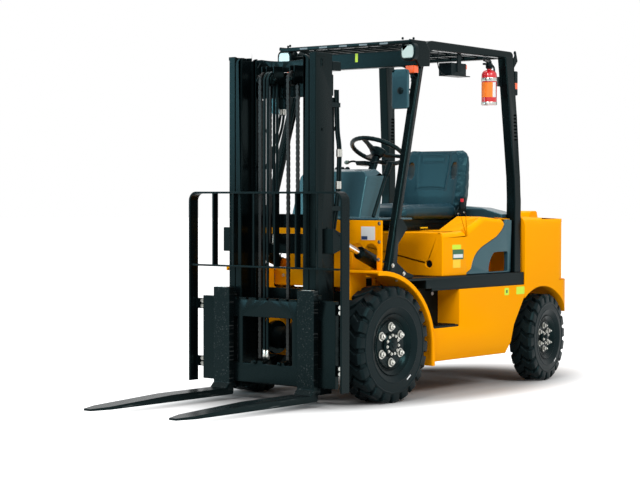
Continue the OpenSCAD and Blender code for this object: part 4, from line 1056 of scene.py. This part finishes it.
press_lines(back, [pad_lower, pad_sides], (1, 0, 0.12), 4.0, 5.0, 0.35)
press_lines(back, [panel_frame], (1, 0, 0.12), 2.6, 4.0, 0.35)
smoothing = back.modifiers.new("smoothing", "SMOOTH")
smoothing.factor = 0.4
smoothing.iterations = 2
finer = back.modifiers.new("finer", "SUBSURF")
finer.levels = finer.render_levels = 1
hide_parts("seat_back")
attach(back, "hood_assembly")

# Seat hardware: hinge brackets in black, a belt with its red button, and the back's plastic shell screws.
red_plastic = finish_material("red_button", (0.62, 0.005, 0.02), (0.55, 0.005, 0.02), 0.3, 0.05, 400.0)
hinges = bmesh.new()
for side in (-1, 1):
    add_plate(hinges, [(-1168, 1052), (-1070, 1052), (-1062, 1070), (-1118, 1124), (-1150, 1180), (-1186, 1176),
                       (-1190, 1090)], "y", side * 252 - 4, side * 252 + 4)
    add_turned(hinges, (-1128, side * 254, 1132), (0, side, 0), [(0, 0), (13, 0), (13, 10), (0, 12)], 20)
    add_box(hinges, (-1150, side * 262 - 8, 1100), (-1106, side * 262 + 8, 1148))
add_box(hinges, (-1140, 262, 1146), (-1112, 271, 1168), 1)
piece_of("seat_hinges", hinges, "hood_assembly", "seat_base", satin_plastic, red_plastic, bevel=0.003)
fasten("hinge_screws", "hood_assembly", both_sides([((-1096, 257, 1072), (0, 1, 0)),
                                                             ((-1164, 257, 1080), (0, 1, 0))]), 6, 4, zinc)

# Steering wheel: a thick soft rim moulded round a steel ring, on three broad spokes,
# with a padded hub over the column.
soft_grip = finish_material("soft_grip", (0.0025, 0.0045, 0.0055), (0.0045, 0.0070, 0.0080), 0.38, 0.2, 800.0,
                            dust_share=0.0, specular=0.15, tint=painted_cool_sheen)
wheel_tilt = math.radians(27)
wheel_axis = Vector((-math.sin(wheel_tilt), 0, math.cos(wheel_tilt)))
wheel_side = Vector((math.cos(wheel_tilt), 0, math.sin(wheel_tilt)))
wheel_centre = Vector((-600, 0, 1462))


def on_wheel(radius, turn, height):
    along = wheel_side * math.cos(turn) + Vector((0, 1, 0)) * math.sin(turn)
    return wheel_centre + along * radius + wheel_axis * height


wheel = bmesh.new()
rings = []
for i in range(96):
    turn = 2 * math.pi * i / 96
    ring = []
    for k in range(16):
        a = 2 * math.pi * k / 16
        bump = 13 + (0.9 if i % 3 == 0 else 0.0)
        ring.append(wheel.verts.new(at(*on_wheel(166 + bump * math.cos(a), turn, (bump + 0.6) * math.sin(a)))))
    rings.append(ring)
for i in range(96):
    one, two = rings[i], rings[(i + 1) % 96]
    for k in range(16):
        wheel.faces.new((one[k], one[(k + 1) % 16], two[(k + 1) % 16], two[k]))
for turn in (0, 2 * math.pi / 3, 4 * math.pi / 3):
    sections = []
    for r, half, low, high in ((26, 26, -24, 2), (60, 20, -22, -4), (110, 15, -14, 0), (158, 20, -7, 6)):
        along = wheel_side * math.cos(turn) + Vector((0, 1, 0)) * math.sin(turn)
        across = wheel_axis.cross(along)
        middle = wheel_centre + along * r
        sections.append([wheel.verts.new(at(*(middle + across * u + wheel_axis * v)))
                         for u, v in ((-half, low), (half, low), (half * 0.8, high), (-half * 0.8, high))])
    for one, two in zip(sections, sections[1:]):
        for k in range(4):
            wheel.faces.new((one[k], one[(k + 1) % 4], two[(k + 1) % 4], two[k]))
    wheel.faces.new(sections[0])
    wheel.faces.new(sections[-1])
add_turned(wheel, on_wheel(0, 0, -39), wheel_axis, [(0, 0), (30, 0), (38, 10), (52, 30), (54, 42), (44, 50), (0, 53)],
           40)
wheel_piece = piece_of("steering_wheel_rim", wheel, "steering", "steering_wheel", soft_grip, bevel=0.002)
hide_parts("steering_wheel")

# Overhead guard: rolled and welded sections under a curved roof frame, bolted to the front plate and the rear.
dress("overhead_guard", black_enamel, 0.005, segments=3)
dress("guard_bars", black_enamel, 0.004, segments=3)
fasten("guard_bolts", "chassis",
       both_sides([((-55, 523, 785), (0, 1, 0)), ((-161, 523, 735), (0, 1, 0)), ((-90, 523, 700), (0, 1, 0))]),
       9, 6, zinc)
fasten("roof_studs", "chassis",
       both_sides([((-270, 430, 2107), (0, 0, 1)), ((-310, 480, 2107), (0, 0, 1))]), 6, 7, black_enamel)
header_strip = bmesh.new()
add_plate(header_strip, round_corners(24, 1990, 44, 2042, 3), "x", -340.2, -339.2)
piece_of("header_strip", header_strip, "chassis", "overhead_guard", label_lime)
# Pale slate patches along the roof's front beam: a painted highlight for the room's reflection on the black beam.
painted_roof_highlight = finish_material("painted_roof_highlight", (0.20, 0.25, 0.27), (0.14, 0.18, 0.20), 0.4, 0.1, 300.0, dust_share=0.0)
roof_marks = bmesh.new()
for i in range(-2, 3):
    add_box(roof_marks, (-249.9, i * 153 - 30, 2078), (-249.2, i * 153 + 30, 2088))
piece_of("roof_marks", roof_marks, "chassis", "overhead_guard", painted_roof_highlight)

# Lamp housing: a small black moulded case bolted under the roof, with its lead clipped along the roof frame.
dress("beacon", satin_plastic, 0.003)
lead = bmesh.new()
add_pipe(lead, [(-668, 402, 2046), (-667, 400, 1990), (-690, 399, 1944), (-737, 399, 1922), (-760, 399, 1926)],
         3.2, 8)
piece_of("lamp_lead", lead, "chassis", "beacon", satin_plastic)

# Lamps: clear and amber lenses of moulded acrylic, ribbed inside, each in a black rubber ring. The tail lamps sit
# in black plastic shells on the rear pillars, and two wires leave each signal lamp.
lens_clear = finish_material("clear_lens", (0.62, 0.74, 0.70), (0.50, 0.64, 0.61), 0.14, 0.5, 90.0, coat=0.6,
                             dust_share=0.0)
lens_amber = finish_material("amber_lens", (1.0, 0.13, 0.005), (0.85, 0.09, 0.005), 0.2, 0.6, 110.0, coat=0.6,
                             dust_share=0.0)
dress("headlamps", lens_clear, 0.006, segments=3)
dress("signal_lamps", lens_amber, 0.004, segments=3)
lamp_rings = bmesh.new()
for side in (-1, 1):
    outline = round_corners(side * 472 - 54, 1974, side * 472 + 54, 2082, 38, steps=8)
    inner = round_corners(side * 472 - 43, 1985, side * 472 + 43, 2071, 31, steps=8)
    front_out = [lamp_rings.verts.new(at(-264, u, v)) for u, v in outline]
    front_in = [lamp_rings.verts.new(at(-259, u, v)) for u, v in inner]
    mid_in = [lamp_rings.verts.new(at(-300, u, v)) for u, v in inner]
    back_out = [lamp_rings.verts.new(at(-300, u, v)) for u, v in outline]
    count = len(outline)
    for i in range(count):
        j = (i + 1) % count
        for one, two in ((front_out, front_in), (front_in, mid_in), (mid_in, back_out), (back_out, front_out)):
            lamp_rings.faces.new((one[i], one[j], two[j], two[i]))
piece_of("lamp_rings", lamp_rings, "chassis", "headlamps", satin_plastic, bevel=0.002)
tail_shells = bmesh.new()
for side in (-1, 1):
    y0, y1 = side * 477 - 24.5, side * 477 + 24.5
    add_box(tail_shells, (-1402, min(y0, y1), 1896), (-1364, max(y0, y1), 1973))
    add_box(tail_shells, (-1402, min(y0, y1), 1820), (-1364, max(y0, y1), 1862))
piece_of("tail_lamp_shells", tail_shells, "chassis", "signal_lamps", satin_plastic, bevel=0.006, segments=3)
wires = bmesh.new()
for side in (-1, 1):
    for y, dy in ((448, -8), (462, 4)):
        add_pipe(wires, [(-330, side * y, 1906), (-336, side * (y + dy), 1890), (-350, side * (y + dy * 2), 1880)],
                 2.6, 5, 8)
piece_of("signal_wires", wires, "chassis", "signal_lamps", satin_plastic)

# Mirrors: pressed plastic backs with rounded edges and silvered glass set in, each on a ball joint
# at the end of its stalk.
dress("mirrors", moulded, 0.006, segments=3)
mirror_joints = bmesh.new()
for side, y in ((1, 430), (-1, -502)):
    add_turned(mirror_joints, (-240, y + side * 8, 1800), (1, 0, 0), [(0, -2), (20, -2), (20, 6), (14, 10), (0, 12)],
               24)
    add_turned(mirror_joints, (-252, y + side * 11, 1789), (1, 0.0, 0), [(0, -10), (9, -9), (12, 0), (9, 9), (0, 10)],
               20)
piece_of("mirror_joints", mirror_joints, "chassis", "mirrors", satin_plastic)
mirror_glass = finish_material("mirror_glass", (0.8, 0.82, 0.83), (0.78, 0.8, 0.81), 0.05, 0.0, 100.0, metallic=1.0,
                               dust_share=0.0, spread=0.01)
glass = bmesh.new()
add_plate(glass, round_corners(430 - 51, 1810 - 109, 430 + 51, 1810 + 109, 18), "x", -263.2, -261.4)
add_plate(glass, round_corners(-502 - 51, 1810 - 116, -502 + 51, 1810 + 116, 18), "x", -263.2, -261.4)
piece_of("mirror_faces", glass, "chassis", "mirrors", mirror_glass)

# Fire extinguisher: a red enamelled steel bottle in two zinc bands, with a blank two-colour label,
# a brass-threaded black valve and a squeeze lever.
red_enamel = finish_material("red_enamel", (0.66, 0.006, 0.014), (0.56, 0.006, 0.012), 0.22, 0.03, 240.0, coat=0.6,
                             dust_share=0.0)


# Its bracket and its head are black: only the bottle itself, below the neck, carries the red.
def bottle_only(material, x, y, radius, top):
    tree = material.node_tree
    shader = tree.nodes["Principled BSDF"]
    base = shader.inputs["Base Color"].links[0].from_socket
    place = tree.nodes.new("ShaderNodeTexCoord")
    middle = tree.nodes.new("ShaderNodeVectorMath")
    middle.operation = "SUBTRACT"
    middle.inputs[1].default_value = at(x, y, 0)
    flatten = tree.nodes.new("ShaderNodeVectorMath")
    flatten.operation = "MULTIPLY"
    flatten.inputs[1].default_value = (1, 1, 0)
    reach = tree.nodes.new("ShaderNodeVectorMath")
    reach.operation = "LENGTH"
    outside = tree.nodes.new("ShaderNodeMath")
    outside.operation = "GREATER_THAN"
    outside.inputs[1].default_value = radius
    split = tree.nodes.new("ShaderNodeSeparateXYZ")
    above = tree.nodes.new("ShaderNodeMath")
    above.operation = "GREATER_THAN"
    above.inputs[1].default_value = at(0, 0, top)[2]
    either = tree.nodes.new("ShaderNodeMath")
    either.operation = "MAXIMUM"
    skin = tree.nodes.new("ShaderNodeMix")
    skin.data_type = "RGBA"
    skin.inputs["B"].default_value = (0.003, 0.005, 0.006, 1)
    tree.links.new(place.outputs["Object"], middle.inputs[0])
    tree.links.new(middle.outputs[0], flatten.inputs[0])
    tree.links.new(flatten.outputs[0], reach.inputs[0])
    tree.links.new(reach.outputs["Value"], outside.inputs[0])
    tree.links.new(place.outputs["Object"], split.inputs[0])
    tree.links.new(split.outputs["Z"], above.inputs[0])
    tree.links.new(outside.outputs[0], either.inputs[0])
    tree.links.new(above.outputs[0], either.inputs[1])
    tree.links.new(either.outputs[0], skin.inputs["Factor"])
    tree.links.new(base, skin.inputs["A"])
    tree.links.new(skin.outputs["Result"], shader.inputs["Base Color"])


bottle_only(red_enamel, -1166, 440, 0.0485, 1978)
dress("fire_extinguisher", red_enamel, 0.003)
label_orange = finish_material("orange_label", (1.0, 0.24, 0.01), (0.95, 0.2, 0.01), 0.4, 0.02, 300.0, dust_share=0.0)
fittings = bmesh.new()
bottle = (-1166, 440)
for low, high in ((1900, 1922), (1753, 1771)):
    add_turned(fittings, (*bottle, low), (0, 0, 1), [(47, 0), (49.5, 0), (50, 2), (50, high - low - 2),
                                                   (49.5, high - low), (47, high - low), (47, 0)], 40)
add_box(fittings, (-1128, 470, 1903), (-1112, 488, 1919))
piece_of("bottle_bands", fittings, "chassis", "fire_extinguisher", zinc)
wrap = bmesh.new()
for a0, a1, slot in ((-40, 62, 0), (62, 92, 1)):
    strips = []
    for k in range(17):
        turn = math.radians(a0 + (a1 - a0) * k / 16)
        strips.append([wrap.verts.new(at(bottle[0] + r * math.cos(turn), bottle[1] + r * math.sin(turn), z))
                       for r, z in ((47.4, 1800), (48.7, 1800), (48.7, 1893), (47.4, 1893))])
    for one, two in zip(strips, strips[1:]):
        for k in range(4):
            wrap.faces.new((one[k], one[(k + 1) % 4], two[(k + 1) % 4], two[k])).material_index = slot
    wrap.faces.new(strips[0]).material_index = slot
    wrap.faces.new(strips[-1]).material_index = slot
piece_of("bottle_label", wrap, "chassis", "fire_extinguisher", label_orange, label_white)
valve = bmesh.new()
add_turned(valve, (*bottle, 1978), (0, 0, 1), [(0, 0), (17, 0), (22, 6), (22, 24), (16, 30), (16, 46), (0, 48)], 24)
add_box(valve, (-1190, 430, 2000), (-1108, 450, 2012))
add_pipe(valve, [(-1150, 440, 2012), (-1180, 440, 2030), (-1120, 440, 2040), (-1092, 440, 2034)], 5, 6)
add_turned(valve, (-1146, 452, 2001), (0.2, 1, 0.3), [(0, 0), (13, 0), (13, 8), (0, 9)], 20)
add_pipe(valve, [(-1188, 442, 2004), (-1212, 444, 1990), (-1216, 446, 1950), (-1214, 448, 1880)], 6, 6)
piece_of("bottle_valve", valve, "chassis", "fire_extinguisher", satin_plastic)

# Outer mast: two rolled channels joined by cross members, hung on the drive axle by its trunnion eyes.
# The small pads and bolts at the rail heads hold the wear shoes.
dress("outer_mast", black_enamel, 0.003, segments=3)
dress("lift_barrels", black_enamel, 0.003)
pads = bmesh.new()
for side in (-1, 1):
    add_box(pads, (330, side * 326 - 2, 1912), (360, side * 326 + 2, 1962))
    add_plate(pads, [(318, 1972), (407, 1972), (407, 1992), (330, 1992)], "y", side * 326 - 3, side * 326 + 3)
    add_turned(pads, (212, side * 262, 1700), (0, 0, 1), [(34, 0), (38, 2), (38, 42), (34, 45), (22.5, 46)], 32)
    add_box(pads, (178, side * 262 - 26, 1556), (257, side * 262 + 26, 1580))
    add_box(pads, (178, side * 262 - 26, 1000), (257, side * 262 + 26, 1024))
piece_of("mast_head_pads", pads, "mast", "outer_mast", black_enamel, bevel=0.003)
rail_bolts = [((345, 327, 1925), (0, 1, 0)), ((345, 327, 1949), (0, 1, 0)), ((345, 326, 1560), (0, 1, 0)),
              ((300, 326, 1000), (0, 1, 0)), ((300, 326, 905), (0, 1, 0))]
fasten("rail_bolts", "mast", both_sides(rail_bolts), 7, 3.5, black_enamel)

# Hydraulic pipes up the back of the left rail, with hose tails and crimped steel collars.
hose_rubber = finish_material("hose_rubber", (0.0025, 0.0045, 0.0055), (0.0050, 0.0075, 0.0085), 0.34, 0.1, 700.0,
                              dust_share=0.0, specular=0.15, tint=painted_cool_sheen)
pipes = bmesh.new()
for shift in (0, 22):
    add_pipe(pipes, [(205 - shift, 305, 1790), (200 - shift, 303, 1700), (190 - shift, 300, 1560),
                     (172 - shift, 298, 1470), (168 - shift, 296, 1380), (176 - shift, 294, 1200),
                     (200 - shift, 292, 1060), (222 - shift, 290, 960)], 7.5, 6, 12)
    for z, x in ((1408, 168), (1224, 175)):
        add_turned(pipes, (x - shift, 296, z), (0, 0, 1), [(7.5, 0), (11, 1), (11, 44), (7.5, 45)], 16, 1)
for z in (1690, 1100):
    add_box(pipes, (168, 284, z), (257, 314, z + 26), 0)
piece_of("rail_hoses", pipes, "mast", "outer_mast", hose_rubber, zinc, bevel=0.001)

# Inner mast: it runs in the outer channels on rollers, and carries the chain sheaves under its bowed head beam.
dress("inner_mast", black_enamel, 0.003, segments=3)
head = bmesh.new()
for side in (-1, 1):
    add_turned(head, (380, side * 118, 1850), (0, side, 0), [(0, 0), (16, 0), (16, 8), (9, 10), (9, 16), (0, 17)], 24)
    add_plate(head, [(268, 1890), (300, 1890), (300, 1930), (276, 1960), (268, 1960)], "y", side * 200 - 4,
              side * 200 + 4)
for y in (-88, -36):
    add_turned(head, (340, y, 1850), (0, -1 if y < -60 else 1, 0), [(0, 0), (16, 0), (16, 6), (8, 8), (8, 12), (0, 13)],
               24)
piece_of("sheave_pins", head, "mast_inner", "inner_mast", black_enamel, bevel=0.002)

# Leaf chains: oiled steel plates, four and three to a pitch, riveted on pins. Each runs from the carriage over its
# sheave and down to an anchor behind the mast.
oiled_steel = finish_material("oiled_steel", (0.060, 0.062, 0.060), (0.022, 0.024, 0.024), 0.34, 0.1, 500.0,
                              metallic=0.85, dust_share=0.0)
chain_pitch = 15.875


def leaf(offsets, reach):
    link = bmesh.new()
    for y in offsets:
        outline = []
        for end, start in ((1, 0), (-1, 180)):
            for k in range(5):
                turn = math.radians(start + 180 * k / 4)
                outline.append((7.2 * math.cos(turn), end * chain_pitch / 2 + 5.8 * math.sin(turn)))
        low = [link.verts.new((u / 1000, (y - 1.1) / 1000, v / 1000)) for u, v in outline]
        high = [link.verts.new((u / 1000, (y + 1.1) / 1000, v / 1000)) for u, v in outline]
        link.faces.new(low)
        link.faces.new(high)
        for i in range(len(outline)):
            j = (i + 1) % len(outline)
            link.faces.new((low[i], low[j], high[j], high[i]))
    pin = []
    for y in (-reach, reach):
        pin.append([link.verts.new((3.0 * math.cos(k * math.pi / 3) / 1000, y / 1000,
                                    (chain_pitch / 2 + 3.0 * math.sin(k * math.pi / 3)) / 1000)) for k in range(6)])
    for k in range(6):
        link.faces.new((pin[0][k], pin[0][(k + 1) % 6], pin[1][(k + 1) % 6], pin[1][k]))
    link.faces.new(pin[0])
    link.faces.new(pin[1])
    return link


def strand(x, low, wrap_from, wrap_to):
    places = []
    count = int((1850 - low) / chain_pitch)
    for i in range(count):
        places.append(((x, 1850 - chain_pitch * (i + 0.5)), (0, 0, 1)))
    step = chain_pitch / 42
    turn = wrap_from + step / 2
    while turn < wrap_to:
        places.append(((340 + 42 * math.cos(turn), 1850 + 42 * math.sin(turn)),
                       (-math.sin(turn), 0, math.cos(turn))))
        turn += step
    return places


for name, x, low, turns, one_body, other_body, top, end in (
        ("chain_front", 382, 240, (0, math.pi * 0.5), "mast_inner", "fork_carriage", 1850, 236),
        ("chain_rear", 298, 905, (math.pi * 0.5, math.pi), "mast_inner", "mast", 1850, 900)):
    places = strand(x, low, *turns)
    parts = []
    for offsets, parity in (((-8.6, -4.3, 0, 4.3, 8.6), 0), ((-6.45, -2.15, 2.15, 6.45), 1)):
        spots = [((u, side * 105, z), aim) for i, ((u, z), aim) in enumerate(places) if i % 2 == parity
                 for side in (-1, 1)]
        parts.append(repeat(f"{name}_{parity}", leaf(offsets, 10.6), spots, "mast_inner", oiled_steel))
    for part in parts:
        part.parent = None
        del part["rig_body"]
        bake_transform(part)
    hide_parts(name)

# Carriage hoses: two rubber hoses beside the chains, over their own sheave, crimped into steel collars at each end.
for name, x, low, sweep, one_body, other_body in (
        ("hose_front", 382, 236, (0, 90), "mast_inner", "fork_carriage"),
        ("hose_rear", 298, 900, (90, 180), "mast_inner", "mast")):
    tube = bmesh.new()
    for y in (-74, -50):
        path = []
        if sweep[0] == 0:
            path = [(x, y, low + (1850 - low) * k / 40) for k in range(41)]
            path += [(340 + 42 * math.cos(math.radians(a)), y, 1850 + 42 * math.sin(math.radians(a)))
                     for a in range(10, 91, 10)]
        else:
            path = [(340 + 42 * math.cos(math.radians(a)), y, 1850 + 42 * math.sin(math.radians(a)))
                    for a in range(90, 180, 10)]
            path += [(x, y, 1850 - (1850 - low) * k / 24) for k in range(25)]
        add_pipe(tube, path, 8.6, 1, 14)
        add_turned(tube, (x, y, low + 4), (0, 0, 1), [(8.6, 0), (12, 1), (12, 30), (10.4, 34), (10.4, 56), (8.6, 57)],
                   18, 1)
    bmesh.ops.remove_doubles(tube, verts=tube.verts, dist=0.00001)
    bmesh.ops.recalc_face_normals(tube, faces=tube.faces)
    mesh = bpy.data.meshes.new(name + "_run")
    for face in tube.faces:
        face.smooth = True
    tube.to_mesh(mesh)
    tube.free()
    mesh.materials.append(hose_rubber)
    mesh.materials.append(zinc)
    run = bpy.data.objects.new(name + "_run", mesh)
    scene.collection.objects.link(run)
    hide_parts(name)
    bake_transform(run)

# Head bracket on the mast's upper cross member: the carriage hoses' fixed ends turn out of it in two loops.
bracket = bmesh.new()
add_plate(bracket, round_corners(-124, 1690, -34, 1900, 10), "x", 214, 224)
for y in (-74, -50):
    add_turned(bracket, (236, y, 1668), (0, 0, -1), [(8.6, -20), (12, -18), (12, 12), (9, 16), (7.6, 18)], 16, 1)
add_pipe(bracket, [(238, -73, 1690), (240, -75, 1650), (240, -88, 1590), (234, -112, 1530), (226, -136, 1480),
                   (218, -160, 1440), (214, -176, 1380)], 8, 6, 14, 2)
add_pipe(bracket, [(238, -50, 1690), (240, -50, 1650), (240, -62, 1585), (234, -90, 1520), (228, -118, 1462),
                   (222, -146, 1414), (218, -168, 1360)], 8, 6, 14, 2)
add_box(bracket, (205, -196, 1340), (232, -140, 1372), 0)
piece_of("head_bracket", bracket, "mast", "outer_mast", black_enamel, zinc, hose_rubber, bevel=0.002)

# Lift rods and tilt rods: round steel bar, hard chromed and ground smooth, so they show the white room
# and the floor.
chrome = finish_material("hard_chrome", (0.72, 0.74, 0.75), (0.66, 0.68, 0.70), 0.10, 0.01, 800.0,
                         metallic=1.0, dust_share=0.0, spread=0.03)
for node in ("lift_rods", "tilt_rod_left", "tilt_rod_right"):
    dress(node, chrome, 0.001)

# Tilt cylinders: honed steel tubes under black paint, pinned between the frame and the mast
# through the openings of the front plate.
for hand, side in (("left", 1), ("right", -1)):
    dress(f"tilt_barrel_{hand}", black_enamel, 0.002)

# Fork carriage: two bars flame cut from plate, notched for the fork latches, on arms that run in the inner rails.
dress("carriage", black_enamel, 0.003, segments=3)
carriage_bits = bmesh.new()
for side in (-1, 1):
    for z in (520, 575):
        add_turned(carriage_bits, (440, side * 470, z), (1, 0, 0), [(0, 0), (9, 0), (9, 3.8), (7, 4.3), (0, 4.4)], 6)
    add_turned(carriage_bits, (444.7, side * 92, 228), (1, 0, 0), [(0, 0), (13, 0), (13, 9), (6, 10), (6, 18), (0, 18)],
               6)
piece_of("carriage_screws", carriage_bits, "fork_carriage", "carriage", black_enamel, bevel=0.0015)

# Load backrest: bent flat bar with round-cornered uprights, welded and painted black,
# and bolted to the carriage ends.
dress("load_backrest", black_enamel, 0.0015)
fasten("backrest_bolts", "fork_carriage",
       both_sides([((428, 520, 195), (1, 0, 0)), ((428, 520, 225), (1, 0, 0)), ((428, 520, 535), (1, 0, 0)),
                   ((428, 520, 565), (1, 0, 0))]), 9, 6, zinc)


# Forks: forged steel, painted, with the paint worn to grey metal in random streaks over the whole fork, running along
# the blade.
def worn_enamel():
    material = finish_material("fork_enamel", (0.0015, 0.0030, 0.0034), (0.0030, 0.0050, 0.0055), 0.30, 0.08, 260.0,
                               dust_share=0.0, specular=0.12, tint=painted_cool_sheen)
    tree = material.node_tree
    shader = tree.nodes["Principled BSDF"]
    base = shader.inputs["Base Color"].links[0].from_socket
    place = tree.nodes.new("ShaderNodeTexCoord")
    stretch = tree.nodes.new("ShaderNodeMapping")
    stretch.inputs["Scale"].default_value = (3.0, 60.0, 60.0)
    scratch = tree.nodes.new("ShaderNodeTexNoise")
    scratch.inputs["Scale"].default_value = 2.0
    scratch.inputs["Detail"].default_value = 6.0
    keep = tree.nodes.new("ShaderNodeMapRange")
    keep.inputs["From Min"].default_value = 0.60
    keep.inputs["From Max"].default_value = 0.72
    keep.inputs["To Max"].default_value = 0.5
    bare = tree.nodes.new("ShaderNodeMix")
    bare.data_type = "RGBA"
    bare.inputs["B"].default_value = (0.13, 0.14, 0.14, 1)
    tree.links.new(place.outputs["Object"], stretch.inputs["Vector"])
    tree.links.new(stretch.outputs[0], scratch.inputs["Vector"])
    tree.links.new(scratch.outputs["Fac"], keep.inputs["Value"])
    tree.links.new(keep.outputs["Result"], bare.inputs["Factor"])
    tree.links.new(base, bare.inputs["A"])
    tree.links.new(bare.outputs["Result"], shader.inputs["Base Color"])
    return material


fork_enamel = worn_enamel()
for hand, side in (("left", 1), ("right", -1)):
    dress(f"fork_{hand}", fork_enamel, 0.003, segments=3)
    latch = bmesh.new()
    add_turned(latch, (455, side * 316, 629), (0, 0, 1), [(0, 0), (11, 0), (11, 10), (15, 12), (16, 20), (12, 26), (0, 28)], 24)
    add_box(latch, (446, side * 316 - 34, 654), (478, side * 316 + 34, 657))
    piece_of(f"fork_latch_{hand}", latch, f"tine_{hand}", f"fork_{hand}", zinc, bevel=0.001)
